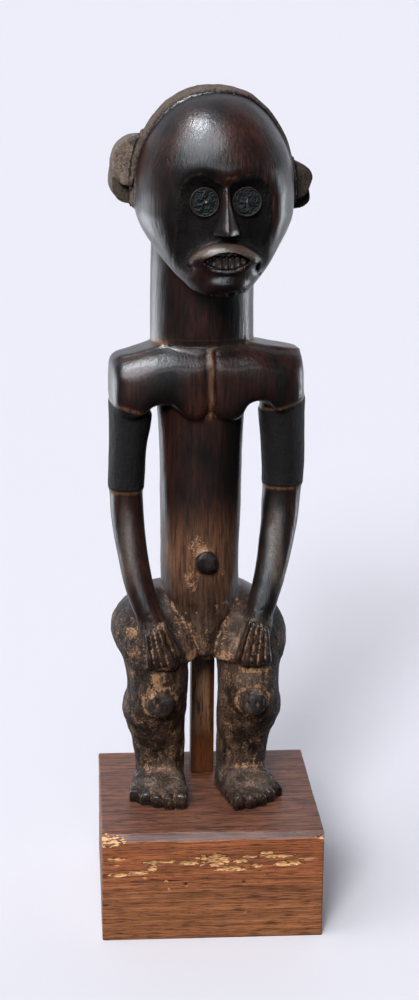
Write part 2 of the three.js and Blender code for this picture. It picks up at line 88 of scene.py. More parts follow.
# Centre, reach and amount of nail holes, which are round all along y, and of lost corners
NAIL_HOLES = [((-20.3, 0, 44.3), (1.3, np.inf, 1.3), 1), ((23, 0, 44.8), (1.1, np.inf, 1.1), 1)]
CORNER_CHIPS = [((-82, -78, 82), (17.6, 6.6, 7.7), 1), ((82, -78.5, 80.5), (7.2, 2.7, 3.15), 1)]


def value_noise(points, size, seed):
    """Smooth noise from -1 to 1: seeded random numbers on a lattice of the given cell size, mixed
    between the eight corners round each point by 3t^2 - 2t^3. Size is one length or three."""
    cells = 32
    lattice = np.random.default_rng(seed).uniform(-1, 1, (cells, cells, cells))
    place = np.asarray(points) / np.asarray(size, float) + 1000
    low = np.floor(place).astype(int)
    t = place - low
    t = t * t * (3 - 2 * t)
    total = 0
    for corner in np.ndindex(2, 2, 2):
        weight = np.prod(np.where(corner, t, 1 - t), axis=-1)
        total = total + weight * lattice[tuple(np.moveaxis((low + corner) % cells, -1, 0))]
    return total


def smooth(low, high, value):
    """0 below low, 1 above high and 3t^2 - 2t^3 between them."""
    t = np.clip((value - low) / (high - low), 0, 1)
    return t * t * (3 - 2 * t)


def mesh_object(name, points, faces):
    """A mesh object, in millimetres, from an array of points and one of faces with equal corners."""
    mesh = bpy.data.meshes.new(name)
    mesh.vertices.add(len(points))
    mesh.vertices.foreach_set("co", np.asarray(points, np.float32).ravel())
    mesh.loops.add(faces.size)
    mesh.loops.foreach_set("vertex_index", faces.astype(np.int32).ravel())
    mesh.polygons.add(len(faces))
    mesh.polygons.foreach_set("loop_start", np.arange(0, faces.size, faces.shape[1], dtype=np.int32))
    mesh.update(calc_edges=True)
    mesh.validate()
    obj = bpy.data.objects.new(name, mesh)
    bpy.context.scene.collection.objects.link(obj)
    return obj


def block_skin(low, high, steps, radius):
    """A box whose six faces are grids. Each point is drawn to the box that is smaller by radius, and
    then set off from it by radius, which rounds all edges. Equal points are merged."""
    points, faces = [], []
    count = 0
    for axis in range(3):
        a, b = (axis + 1) % 3, (axis + 2) % 3
        for end in (0, 1):
            u, v = np.meshgrid(np.arange(steps[a] + 1), np.arange(steps[b] + 1), indexing="ij")
            grid = np.zeros((*u.shape, 3), int)
            grid[..., a], grid[..., b], grid[..., axis] = u, v, end * steps[axis]
            index = count + np.arange(u.size).reshape(u.shape)
            count += u.size
            corners = [index[:-1, :-1], index[1:, :-1], index[1:, 1:], index[:-1, 1:]]
            quads = np.stack(corners if end else corners[::-1], -1).reshape(-1, 4)
            points.append(grid.reshape(-1, 3))
            faces.append(quads)
    merged, inverse = np.unique(np.concatenate(points), axis=0, return_inverse=True)
    box = low + (high - low) * merged / np.array(steps)
    inner = np.clip(box, low + radius, high - radius)
    off = box - inner
    length = np.linalg.norm(off, axis=1, keepdims=True)
    rounded = inner + off / np.maximum(length, 1e-9) * np.minimum(length, radius)
    return rounded, inverse.ravel()[np.concatenate(faces)]


def patches(points, places, outer=1.15, inner=0.45, ragged=0):
    """The largest amount that any soft-edged ellipsoid gives each point: all of it within inner, none
    beyond outer, both in reaches from its centre. Ragged is noise added to that distance."""
    best = np.zeros(len(points))
    for place, reach, amount in places:
        away = np.linalg.norm((points - place) / reach, axis=1)
        best = np.maximum(best, amount * smooth(outer, inner, away + ragged))
    return best


def inside_flakes(points, flakes, seed):
    """How far inside the flakes' edges points are: 1 in an ellipse's middle, 0 at its edge and -1 far
    outside, broken up by noise."""
    ragged = 0.45 * value_noise(points, (5, 5, 1.6), seed)
    ragged = ragged + 0.3 * value_noise(points, (1.8, 2, 0.9), seed + 1)
    best = np.full(len(points), -1.0)
    for x, z, half, rise in flakes:
        reach = ((points[:, 0] - x) / half) ** 2 + ((points[:, 2] - z) / rise) ** 2
        best = np.maximum(best, 1 - reach)
    return best + ragged - 0.1


low, high = np.array(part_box("base_block")) / MM
points, faces = block_skin(low, high, BLOCK_STEPS, EDGE_ROUND)
grain = value_noise(points, (60, 60, 1.7), 3) + 0.6 * value_noise(points, (30, 5, 1.1), 4)
hollow = value_noise(points, (45, 40, 30), 5)
from_front, from_top = points[:, 1] - low[1], high[2] - points[:, 2]
bevel = 1 - (from_front / BEVEL_TOP + from_top / BEVEL_FRONT)
bevel = bevel + 0.22 * value_noise(points, (26, 30, 30), 6) + 0.1 * value_noise(points, (9, 9, 9), 7)
worn = np.clip(bevel, 0, 1)
slope = np.array([0, 1 / BEVEL_TOP, -1 / BEVEL_FRONT])
points = points + worn[:, None] * slope / (slope @ slope)
on_front = smooth(1.5, 0.3, from_front)
flaking = inside_flakes(points, FLAKES, 11)
flakes = smooth(0, 0.5, flaking) * on_front
chips = patches(points, CORNER_CHIPS, 1, 0.5, 0.35 * value_noise(points, (4, 4, 2), 12))
holes = patches(points, NAIL_HOLES, 1.2, 0.4) * on_front
inward = np.sign((low + high) / 2 - points) * (np.minimum(points - low, high - points) < EDGE_ROUND)
level = np.abs(points[:, 2] - low[2]) > 0.5
depth = 0.12 * (grain + 0.6) + 0.9 * flakes + 2.2 * holes + 0.15 * (hollow + 1)
points = points + inward * depth[:, None] * level[:, None]
points[:, 2] -= 1.3 * chips
points[:, 1] += 0.7 * chips * on_front
block = mesh_object("oak_block", points, faces)


def store(obj, **values):
    """Keeps numbers for each point of a mesh, by name, for a material to read."""
    for name, value in values.items():
        attribute = obj.data.attributes.new(name, "FLOAT", "POINT")
        attribute.data.foreach_set("value", np.clip(value, 0, 1).astype(np.float32))


chipped = np.where(chips > 0, 0.34 + 0.34 * chips, 0)
bare = np.maximum((0.5 + 0.5 * np.clip(flaking, -1, 1)) * on_front, chipped)
store(block, bare=bare, rubbed=smooth(0.05, 0.5, worn), hole=holes)


def linear(colour):
    """An sRGB hex colour as linear red, green, blue and alpha."""
    parts = np.array([int(colour[i:i + 2], 16) for i in (1, 3, 5)]) / 255
    parts = np.where(parts <= 0.04045, parts / 12.92, ((parts + 0.055) / 1.055) ** 2.4)
    return (*parts, 1)


def set_inputs(node, inputs):
    """Sets a node's live inputs, by name or in their order, to numbers or sRGB colours, or links them to
    outputs. A node stands for its first output."""
    live = [socket for socket in node.inputs if socket.enabled]
    named = {socket.name: socket for socket in live}
    for key, value in inputs.items() if isinstance(inputs, dict) else enumerate(inputs):
        socket = named[key] if isinstance(key, str) else live[key]
        if isinstance(value, bpy.types.Node):
            value = next(output for output in value.outputs if output.enabled)
        if isinstance(value, bpy.types.NodeSocket):
            node.id_data.links.new(value, socket)
        else:
            socket.default_value = linear(value) if isinstance(value, str) else value


def add_node(tree, kind, inputs=(), **settings):
    """Adds a shader node with its inputs. Settings are its properties."""
    node = tree.nodes.new("ShaderNode" + kind)
    for name, value in settings.items():
        setattr(node, name, value)
    set_inputs(node, inputs)
    return node


def grain_noise(add, place, scale, **inputs):
    """Noise drawn out along a grain: its place is scaled by a number for each axis."""
    stretched = add("Mapping", {"Vector": place, "Scale": scale})
    return add("TexNoise", {"Vector": stretched, "Scale": 1, **inputs})


def new_material(name):
    """A material, add_node for its tree, and its principled shader, joined to the output."""
    material = bpy.data.materials.new(name)
    material.use_nodes = True
    material.node_tree.nodes.clear()
    add = partial(add_node, material.node_tree)
    shader = add("BsdfPrincipled")
    add("OutputMaterial", {"Surface": shader})
    return material, add, shader


def dress(obj, material):
    """Brings a finished mesh from millimetres to metres and gives it smooth shading and a material."""
    obj.data.transform(Matrix.Scale(MM, 4))
    obj.data.shade_smooth()
    obj.data.materials.append(material)


# Oak, stained and waxed: the stain sinks into the open grain, which shows as dark dashes along x. Where
# flakes are lost the wood is raw and splintered, with a painted shadow round their edges.
def stained_oak():
    material, add, shader = new_material("stained_waxed_oak")
    place = add("TexCoord").outputs["Object"]
    rub, bare, hole = (
        add("Attribute", attribute_name=name).outputs["Fac"] for name in ("rubbed", "bare", "hole"))
    streaks = grain_noise(add, place, (20, 300, 700), Detail=4, Roughness=0.65, Distortion=0.3)
    pores = grain_noise(add, place, (80, 700, 2300), Detail=2)
    torn = grain_noise(add, place, (260, 260, 1300), Detail=3)
    broad = add("TexNoise", {"Vector": place, "Scale": 22, "Detail": 2})
    lines = add("MapRange", (streaks, 0.3, 0.68))
    dark = add("MapRange", (pores, 0.55, 0.61, 0, 0.62))
    height = add("SeparateXYZ", {"Vector": place}).outputs["Z"]
    lower = add("MapRange", (height, 0.058, 0.035))
    up = add("SeparateXYZ", {"Vector": add("NewGeometry").outputs["Normal"]}).outputs["Z"]
    # faces that turn up take the darker topside colours
    facing = add("MapRange", (up, 0.5, 0.95, 0, 0.72))
    red, tan, topside, grey = (add("Mix", (lines, deep, pale), data_type="RGBA") for deep, pale in (
        ("#583225", "#bf7145"), ("#5e3725", "#b9774d"), ("#2a1812", "#744b3b"), ("#35272a", "#6e5853")))
    # the worn bevel turns purple grey: partly rubbed wood, partly a painted sheen
    partly = add("Math", (rub, streaks), operation="MULTIPLY")
    rubbed_and_sheen = add("Math", (partly, 1.5), operation="MULTIPLY", use_clamp=True)
    splinters = add("MapRange", (torn, 0.36, 0.6))
    raw = add("Mix", (splinters, "#6a3c1e", "#e8b076"), data_type="RGBA")
    edge = add("Math", (torn, 1.9, bare), operation="MULTIPLY_ADD")
    shown = add("MapRange", (edge, 1.45, 1.52))
    # painted shadow: a dark band round the edges of the lost flakes
    flake_edge_shadow = add("MapRange", (edge, 1.22, 1.42, 0, 0.7))
    colour = add("Mix", (lower, red, tan), data_type="RGBA")
    for amount, over in ((dark, "#33221c"), (facing, topside), (dark, "#251812"), (rubbed_and_sheen, grey),
                         (flake_edge_shadow, "#331a13"), (shown, raw), (hole, "#1c1310")):
        colour = add("Mix", (amount, colour, over), data_type="RGBA")
    gloss = add("MapRange", (broad, 0, 1, 0.38, 0.6))
    sunk = add("Math", (shown, -2, streaks), operation="MULTIPLY_ADD")
    bump = add("Bump", {"Height": sunk, "Strength": 0.6, "Distance": 0.0008})
    set_inputs(shader, {"Base Color": colour, "Roughness": gloss, "Normal": bump})
    return material


dress(block, stained_oak())
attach(block, "root")
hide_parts("base_block")

# Post: a square stick of plain oak that stands on the block behind the figure's heels and holds the
# figure up from its seat. It is sawn and oiled, smoky brown above and honey brown where it is rubbed.
# Above, its grey brown is made paler as painted light, where the figure shades the post.

POST_STEPS = (24, 24, 140)

low, high = np.array(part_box("support_post")) / MM
points, faces = block_skin(low, high, POST_STEPS, 0.7)
sawn = value_noise(points, (1.1, 1.1, 45), 21) + 0.5 * value_noise(points, (0.6, 0.6, 20), 22)
sides = np.minimum(points - low, high - points)[:, :2] < 0.8
inward = np.sign((low + high) / 2 - points)[:, :2] * sides
points[:, :2] += inward * (0.14 * (sawn[:, None] + 1))
post = mesh_object("oak_post", points, faces)


# Oak, oiled: grey brown with dark pores along z, and warmer and more golden low down and to the right.
def oiled_oak():
    material, add, shader = new_material("oiled_oak")
    place = add("TexCoord").outputs["Object"]
    fibres = grain_noise(add, place, (700, 700, 14), Detail=4, Roughness=0.6)
    pores = grain_noise(add, place, (1100, 1100, 110), Detail=1)
    pore = add("MapRange", (pores, 0.57, 0.66, 0, 0.8))
    part = add("SeparateXYZ", {"Vector": place})
    rise = add("MapRange", (part.outputs["Z"], 0.165, 0.115))
    across = add("MapRange", (part.outputs["X"], 0, 0.005))
    warm = add("Math", (rise, across), operation="MAXIMUM")
    # grey above: the wood's grey brown, made paler as painted light where the figure shades the post
    grey = add("Mix", (fibres, "#6f4a30", "#dcab84"), data_type="RGBA")
    honey = add("Mix", (fibres, "#241002", "#673309"), data_type="RGBA")
    base = add("Mix", (warm, grey, honey), data_type="RGBA")
    colour = add("Mix", (pore, base, "#1a120c"), data_type="RGBA")
    bump = add("Bump", {"Height": fibres, "Strength": 0.4, "Distance": 0.0005})
    set_inputs(shader, {"Base Color": colour, "Roughness": 0.5, "Normal": bump})
    return material


dress(post, oiled_oak())
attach(post, "root")
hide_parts("support_post")

# Figure: one log of a dark hardwood, shaped with adze and knife, rubbed with oil and handled for long.
# Head, neck, arms and chest are polished nearly black; hair, sleeves and legs are dry, and worn ochre.

VOXEL = 0.75
FACE_LIMIT = 196000
TURN = {"degrees": 5, "x": -4, "y": 18, "from": 100, "to": 250}
MIDDLE = np.array([
    (84, -4.3), (150, -3.9), (180, -4), (200, -4.6), (213, -5.8), (235, -7.5), (260, -7.5), (300, -5.3),
    (340, -3.6), (430, -2.5), (540, 0), (620, 0),
])

# Stacks: height, distance from the middle line, half width, front y, back y, squareness
HEAD = [
    (479, 0, 10, -54, -34, 2), (481.5, 0, 19, -58, -22, 2), (487, 0, 25.5, -60, -8, 2),
    (497, 0, 35.3, -60, 12, 2.1), (509, 0, 44.2, -58, 36, 2.2), (521, 0, 51.8, -56.5, 52, 2.3),
    (534, 0, 56, -56.5, 59, 2.35), (548, 0, 56.3, -57.5, 62, 2.3), (564, -0.3, 54.8, -57.5, 62, 2.15),
    (578, -0.6, 51.2, -54.5, 59, 2.05), (592, -0.8, 44.2, -47, 52, 2), (605, -0.8, 33.7, -35, 40, 2),
    (613, 0, 22, -21, 28, 2), (616.5, 0, 10, -8, 14, 2), (617.5, 0, 3, 0, 6, 2),
]
NOSE = [
    (522.5, 0, 9.2, -66.5, -46, 1.25), (525, 0, 9, -66.5, -46, 1.25), (532, 0, 6.8, -63.5, -46, 1.25),
    (542, 0, 4.2, -59.5, -46, 1.3), (554, 0, 3, -55.5, -46, 1.5),
]
NECK = [
    (398, -2.2, 34.6, -2, 46, 2.3), (414, -2.2, 36.6, -5, 50, 2.2), (430, -2.2, 38.2, -9, 54.5, 2.1),
    (470, -3.1, 38, -9, 56, 2.1), (505, -3.8, 37.5, -8, 56, 2.1), (545, -5, 36, -4, 56, 2.1),
]
TORSO = [
    (194.5, 3, 5, -8.5, 10, 2), (198, 2.8, 9, -12, 26, 2), (207, 2.3, 13.5, -15, 46, 2),
    (220, 2.2, 20.5, -15, 50, 2.1), (233, 2.2, 27, -14.5, 49, 2.2), (250, 1.8, 29.2, -14, 46, 2.3),
    (275, 0.3, 29.3, -13, 43, 2.3), (310, -1, 30.2, -11, 42, 2.3), (345, -2, 30.6, -9, 44, 2.3),
    (375, -2.3, 31.9, -8, 47, 2.3), (402, -2.6, 34, -7, 48, 2.3), (426, -2.8, 36, -5, 50, 2.3),
]
# Arms: height, distance and half width on the left, the same on the right, front y, back y, squareness
ARMS = [
    (214, 36.5, 9.5, 36.9, 9.5, -32, -16, 2.6), (226, 39, 10.6, 39.5, 10.6, -31, -12, 2.4),
    (233, 40.6, 10.5, 41.2, 10.7, -29, -9, 2.2), (245, 44.4, 10.8, 45.3, 11.2, -26, -5, 2.1),
    (259, 48.3, 11.1, 50.2, 11.9, -21, 1, 2), (273, 51.3, 11.3, 53.7, 12.6, -15, 7, 2),
    (287, 53.9, 11.7, 56.3, 13.5, -9, 13, 2), (301, 56, 12.2, 58.6, 14.1, -4, 19, 2),
    (315, 57.2, 12.4, 59.5, 14.5, -1, 25, 2.1), (330, 57.9, 12.5, 60.3, 14.5, 0, 29, 2.2),
    (353, 57.5, 12.7, 59.4, 15.2, -2, 31, 2.2), (376, 56.1, 14.2, 57.9, 15.7, -4, 32, 2.2),
    (398, 55.6, 16, 56.8, 16.9, -6, 34, 2.2),
]
HAND = [
    (196, 33.5, 9.5, -32, -20, 2.6), (204, 33.8, 11.5, -33, -19, 2.6), (216, 35.8, 10.8, -33, -16, 2.6),
    (230, 39, 9.8, -30, -12, 2.4),
]
# Legs: height, inner and outer edge from the middle line, front y, back y, squareness
LEG_EDGES = [
    (90, 12.8, 50, -2, 32, 2.2), (103, 12.4, 50.5, 1, 31, 2.2), (115, 12.4, 51.8, 0, 32, 2.2),
    (127, 12.5, 54, -5, 36, 2.2), (140, 12.4, 58.5, -12, 40, 2.2), (150, 12, 61, -17, 41, 2.2),
    (159, 12, 60, -23, 38, 2.3), (168, 12, 57.9, -26, 35, 2.3), (178, 11.6, 57.6, -27.5, 38, 2.3),
    (188, 11.4, 58.8, -28, 46, 2.3), (196, 11, 62, -27, 54, 2.3), (198.5, 1, 63.2, -26.5, 57, 2.3),
    (205, -1, 65.6, -24.5, 61.5, 2.3), (212, -1, 66.8, -22, 64, 2.2), (219, -1, 65.3, -18, 63.5, 2.1),
    (226, 0, 61.5, -13.5, 61, 2), (233, 2, 55, -8, 57, 2), (240, 6, 46, 1, 50, 2), (246, 14, 36, 12, 40, 2),
]
LEG = [(z, (a + b) / 2, (b - a) / 2, front, back, power) for z, a, b, front, back, power in LEG_EDGES]
# Bars across the body: x, lower edge, upper edge, front y, back y
CHEST = [
    (-74, 396, 413, 6, 26), (-72.5, 389, 421.5, -4, 34), (-68, 384, 426.5, -10, 38),
    (-58, 380, 429, -12.5, 41), (-48, 387, 432, -13.5, 42), (-41, 391, 434, -14, 43),
    (-32.5, 391, 435.5, -14, 44), (-25, 385, 436, -14.2, 46), (-17, 378.5, 436, -14.5, 46),
    (-10, 378, 436, -14.5, 46), (-2.7, 386, 436, -13.3, 46), (5, 378.5, 436, -14.5, 46),
    (13.5, 377.5, 436, -14.5, 46), (20.5, 380.5, 436, -14.2, 46), (26, 389.5, 436, -14, 44),
    (33, 392.5, 435, -14, 43), (40, 391, 433.5, -13.5, 42), (50, 382.5, 431.7, -12.5, 41),
    (60, 386, 430, -10, 38), (67, 390, 428, -4, 34), (69.5, 398, 419, 6, 26),
]
# The lips are drawn from the middle to the corners, and mirrored
LIPS, LOWER_LIP = ([(-x, *rest) for x, *rest in half[:0:-1]] + half for half in (
    [(0, 498.5, 517.5, -65, -40), (10, 498.5, 516, -63, -40), (20, 499.5, 511.5, -57.5, -40),
     (24, 500.5, 508, -53.5, -40), (27, 501.5, 504.5, -48, -40)],
    [(0, 494.5, 499.3, -61.3, -44), (9, 495.5, 500.5, -60.4, -44), (17, 498.5, 503, -58, -44),
     (19, 500.5, 503.5, -56, -44)],
))
FACE = {"hollow": 7, "brow": 570, "dip": 6, "drop": 20, "eye": 16, "half": 44, "ledge": 19}
MOUTH = {"z": 504.5, "half": 17, "rise": 7, "drop": 5.5, "floor": -50, "teeth": 7}
TOOTH = {"half": 1.4, "deep": 2.4, "long": 10, "shorter": 5, "y": -54, "z": 503.3, "bow": 2}
EYE = {"radius": 10.7, "out": 14.7, "z": 544.5, "floor": -48.9}
RIM = {"front": 2, "front_top": -16, "low": 534, "high": 632}
SEAM_X = -2.7  # the seam down the breastbone
TRESS = {"root": 38, "foot": 58, "shoulder": 56, "outer": 72.3}
TRESS_STEPS = [  # side, top, bottom, rounding, front y, back y
    (-1, 585, 549, 12, 3, 26), (-1, 574, 536, 12, 12, 38), (1, 567, 539, 14, 3, 26), (1, 560, 531, 6, 12, 38),
]
SLEEVE = {"low": 326, "high": 388, "proud": 1.1, "tilt": 0.3}
FINGER = {
    "count": 5, "half": 2.3, "rise": 3.6, "top": (44.8, 32), "tip": (44, 22), "high": (224, 231), "low": 200,
}
KNEE = {"z": 167.5, "out": 35, "root": -20, "tip": -30.8, "half": 10.4, "rise": 9.6}
NAVEL = {"x": -5.8, "z": 274, "root": -8, "tip": -19.8, "radius": 8.4}
FOOT = [  # y, middle of the foot from the middle line, half width, height
    (-27, 24, 6, 9), (-25.5, 28, 12, 10.5), (-18, 32.5, 19, 12), (-8, 33.8, 21.3, 15), (4, 33.5, 21, 18.5),
    (16, 32.5, 19.8, 19.5), (27, 32, 17, 18.5), (33.5, 31.5, 12, 15), (35.5, 31.5, 6, 11),
]
FEET = [  # side, and how the foot is set: across, forward, and swung about the ankle in degrees
    {"side": -1, "across": 1, "forward": -1, "swing": 0},
    {"side": 1, "across": -2.3, "forward": -3, "swing": 12},
]
ANKLE = (32, 20)
TOES = {"count": 5, "first": (18.5, -28.5), "last": (52.5, -13), "bulge": 3.5, "big": 5.3, "small": 4.4}


def stations(table, count):
    """A station table drawn out to count rows, by Hermite curves whose slope at a station is the
    harmonic mean of the steps on its two sides, or nought where the steps change sign."""
    table = np.asarray(table, float)
    t = np.linspace(0, len(table) - 1, count)
    step = np.diff(table, axis=0)
    both, total = step[:-1] * step[1:], step[:-1] + step[1:]
    inner = np.where(both > 0, 2 * both / np.where(both > 0, total, 1), 0)
    slope = np.vstack([step[:1], inner, step[-1:]])
    i = np.clip(np.floor(t).astype(int), 0, len(step) - 1)
    s = (t - i)[:, None]
    return (table[i] * (2 * s ** 3 - 3 * s ** 2 + 1) + table[i + 1] * (3 * s ** 2 - 2 * s ** 3)
            + slope[i] * (s ** 3 - 2 * s ** 2 + s) + slope[i + 1] * (s ** 3 - s ** 2))


def middle(z):
    """The middle line's x at a height."""
    return np.interp(z, MIDDLE[:, 0], MIDDLE[:, 1])


def squared(value, power):
    """A sine or cosine raised to 2/power, which squares a round outline where power is over 2."""
    return np.sign(value) * np.abs(value) ** (2 / power)


def closed_skin(x, y, z):
    """Points and triangles of a skin drawn through rows of points, each row a closed loop. Both ends
    are closed on the mean of their row, and the faces are turned outwards by the sign of the volume."""
    rows = np.stack(np.broadcast_arrays(x, y, z), -1)
    count, sides = rows.shape[:2]
    points = np.concatenate([rows.reshape(-1, 3), rows[0].mean(0)[None], rows[-1].mean(0)[None]])
    i, j = np.meshgrid(np.arange(count - 1), np.arange(sides), indexing="ij")
    a, b = (i * sides + j).ravel(), (i * sides + (j + 1) % sides).ravel()
    ring = np.arange(sides)
    low = np.stack([np.full(sides, count * sides), (ring + 1) % sides, ring], -1)
    high = np.stack([np.full(sides, count * sides + 1), ring, (ring + 1) % sides], -1)
    high[:, 1:] += (count - 1) * sides
    walls = [np.stack([a, b, b + sides], -1), np.stack([a, b + sides, a + sides], -1)]
    faces = np.concatenate([*walls, low, high])
    corner = points[faces]
    volume = np.sum(corner[:, 0] * np.cross(corner[:, 1], corner[:, 2]))
    return points, faces if volume > 0 else faces[:, ::-1]


def around(sides, density=0):
    """Angles once round from the front; a positive density crowds them towards the front."""
    angle = np.linspace(-np.pi, np.pi, sides, endpoint=False)
    return angle - density * np.sin(angle)


def stack(table, side=1, sides=96, rows=150, relief=None, density=0):
    """A limb as level rounds: x is the middle line, plus the distance out, plus half the width times a
    squared sine; y is the mean of front and back less half the depth times a squared cosine."""
    z, out, half, front, back, power = stations(table, rows).T[:, :, None]
    angle = around(sides, density)[None, :]
    x = middle(z) + out * side + half * squared(np.sin(angle), power)
    y = (front + back) / 2 - (back - front) / 2 * squared(np.cos(angle), power)
    if relief:
        y = y + relief(x, z, angle)
    return closed_skin(x, y, z)


def bar(table, power, sides=96, rows=150, top_power=None):
    """A form across the body: at each x a squared round between the lower and upper edge and between
    front and back. Its upper front corner takes its own squareness."""
    x, low, high, front, back = stations(table, rows).T[:, :, None]
    angle = around(sides)[None, :]
    corner = smooth(0, 0.5, np.sin(angle)) * smooth(0, 0.3, np.cos(angle))
    shape = power + ((top_power or power) - power) * corner
    y = (front + back) / 2 - (back - front) / 2 * squared(np.cos(angle), shape)
    z = (low + high) / 2 + (high - low) / 2 * squared(np.sin(angle), shape)
    return closed_skin(x, y, z)


def knob(centre, radii, sides=48, rows=32):
    """An ellipsoid: rings of half width sin(t) at height cos(t)."""
    t = np.linspace(0.02, np.pi - 0.02, rows)[:, None]
    angle = around(sides)[None, :]
    ring = (np.sin(t) * np.sin(angle), np.sin(t) * np.cos(angle), np.cos(t))
    return closed_skin(*(part * radius + place for part, radius, place in zip(ring, radii, centre)))


def peg(start, end, half, rise, power=2.4, end_power=3, sides=32, rows=40, taper=1):
    """A finger, toe, tooth or disc between two points, its section squared by power and its ends closed
    by (1 - |s|^q)^(1/q), s running from -1 to 1. half is its half width and rise its half thickness;
    taper is how much narrower it starts."""
    start, end = np.array(start, float), np.array(end, float)
    axis = end - start
    length = np.linalg.norm(axis)
    axis = axis / length
    sideways = np.cross(axis, (0, 0, 1)) if abs(axis[2]) < 0.7 else np.cross(axis, (0, 1, 0))
    sideways /= np.linalg.norm(sideways)
    upward = np.cross(sideways, axis)
    s = -np.cos(np.linspace(0.03, np.pi - 0.03, rows))[:, None, None]
    closing = (1 - np.abs(s) ** end_power) ** (1 / end_power)
    angle = around(sides)[None, :, None]
    width = half * (taper + (1 - taper) * (s + 1) / 2)
    section = width * squared(np.sin(angle), power) * sideways + rise * squared(np.cos(angle), power) * upward
    form = (start + end) / 2 + s * length / 2 * axis + closing * section
    return closed_skin(*np.moveaxis(form, -1, 0))


def face_relief(x, z, angle):
    """How far the face is pressed in: full depth inside a heart-shaped line that dips over the nose and
    drops towards the ears, and dying away at the cheeks and, at the sides of the chin, lower down."""
    off = np.abs(x - middle(z))
    inner = np.maximum(1 - off / FACE["eye"], 0)
    outer = np.maximum(off - FACE["eye"], 0) / (FACE["half"] - FACE["eye"])
    brow = FACE["brow"] - FACE["dip"] * inner ** 2 - FACE["drop"] * outer ** 2
    lower = 506 - 14 * smooth(13, 24, off)
    pressed = smooth(brow, brow - FACE["ledge"], z) * smooth(lower, lower + 13, z) * (1 - smooth(21, 40, off))
    return FACE["hollow"] * pressed * (np.cos(angle) > 0.1)


def tress(side, top, bottom, rounding, front, back):
    """A tress: an outline seen from the front, level below, with two quadratic curves round its outer
    end, carried from front to back and drawn in at both ends for a soft edge."""
    def quadratic(a, b, c, count):
        t = np.linspace(0, 1, count, endpoint=False)[:, None]
        return (1 - t) ** 2 * np.array(a) + 2 * t * (1 - t) * np.array(b) + t ** 2 * np.array(c)

    def straight(a, b, count):
        return np.linspace(a, b, count, endpoint=False)

    root, foot, shoulder, outer = (TRESS[name] for name in ("root", "foot", "shoulder", "outer"))
    line = np.concatenate([
        straight((root, bottom + 4), (foot, bottom), 12),
        quadratic((foot, bottom), (outer - 4, bottom - 1), (outer, bottom + rounding), 24),
        quadratic((outer, bottom + rounding), (outer + 1, top - 4), (shoulder, top), 36),
        straight((shoulder, top), (root, top), 12),
        straight((root, top), (root, bottom + 4), 12),
    ])
    s = np.linspace(-1, 1, 40)[:, None]
    centre = line.mean(0)
    drawn = centre + (line - centre) * (1 - 0.04 * np.abs(s[..., None]) ** 24)
    y = (front + back) / 2 + s * (back - front) / 2
    return closed_skin(middle(bottom) + side * drawn[..., 0], y, drawn[..., 1])


def arm_table(side):
    """The columns of one arm."""
    return [(z, *((a, b) if side < 0 else (c, d)), *rest) for z, a, b, c, d, *rest in ARMS]


def sleeve(side):
    """A band that stands proud of the upper arm, its top edge slanting up outwards."""
    row = stations(arm_table(side), 400)
    height = np.linspace(SLEEVE["low"], SLEEVE["high"], 60)
    z, out, half, front, back, power = [np.interp(height, row[:, 0], row[:, k])[:, None] for k in range(6)]
    proud = SLEEVE["proud"]
    angle = around(96)[None, :]
    across = (half + proud) * squared(np.sin(angle), power)
    x = middle(z) + side * out + across
    y = (front + back) / 2 - ((back - front) / 2 + proud) * squared(np.cos(angle), power)
    lift = side * across * SLEEVE["tilt"] * smooth(SLEEVE["high"] - 32, SLEEVE["high"], z)
    return closed_skin(x, y, z + lift)


def fingers(side):
    """Five fingers side by side down the back of the hand, the inmost one the thumb."""
    shapes = []
    for part in np.linspace(0, 1, FINGER["count"]):
        shorter, inward = ((8, 0) if side < 0 else (2, 2.2)) if part == 1 else (0, 0)
        ends = (FINGER[name] for name in ("top", "tip", "high"))
        top, tip, high = (first + (last - first) * part for first, last in ends)
        start = (middle(226) + side * top, -30.4, high + 2)
        end = (middle(200) + side * (tip - inward), -33.6, FINGER["low"] + shorter)
        shapes.append(peg(start, end, FINGER["half"], FINGER["rise"], power=2.2, end_power=7, taper=0.62))
    return shapes


def foot_points(place, x, y, z):
    """Swings a foot about its ankle, then sets it on its side of the middle line."""
    swing = np.radians(place["swing"])
    ankle_x, ankle_y = place["side"] * ANKLE[0], ANKLE[1]
    dx, dy = x - ankle_x, y - ankle_y
    turned_x = ankle_x + dx * np.cos(swing) - dy * np.sin(swing) + middle(sole) + place["across"]
    turned_y = ankle_y + dx * np.sin(swing) + dy * np.cos(swing) + place["forward"]
    return turned_x, turned_y, z


def toe_places(side):
    """Tip of each toe from the middle line, on a bow from the big toe to the small one, and its size."""
    part = np.linspace(0, 1, TOES["count"])
    size = TOES["big"] + (TOES["small"] - TOES["big"]) * np.minimum(3 * part, 1)
    first, last = TOES["first"], TOES["last"]
    x = first[0] + (last[0] - first[0]) * part + (part > 0)
    y = first[1] + (last[1] - first[1]) * part ** 1.3 - TOES["bulge"] * np.sin(np.pi * part)
    return list(zip(side * x, y, size))


def foot(place):
    """The foot is drawn from toes to heel, each upright section a squared half round; the toes are
    pegs with square fronts."""
    side = place["side"]
    y, out, half, height = stations(FOOT, 90).T[:, :, None]
    angle = around(96)[None, :]
    x = side * out + half * squared(np.sin(angle), 3.8)
    z = sole + np.maximum(height * squared(np.cos(angle), 3), -1)
    shapes = [closed_skin(*foot_points(place, x, y, z))]
    for x, y, size in toe_places(side):
        tip = foot_points(place, x, y - 4.6, sole + size * 0.8)
        root = foot_points(place, x - 2 * side, y + 15, sole + size + 1.5)
        shapes.append(peg(root, tip, size * 0.86, size + 0.5, power=5, end_power=12))
        nail_root = foot_points(place, x - 0.5 * side, y + 2, sole + 2 * size + 0.9)
        nail_tip = foot_points(place, x, y - 4.9, sole + 2 * size - 0.9)
        shapes.append(peg(nail_root, nail_tip, size * 0.62, 1.3, power=4, end_power=9))
    return shapes


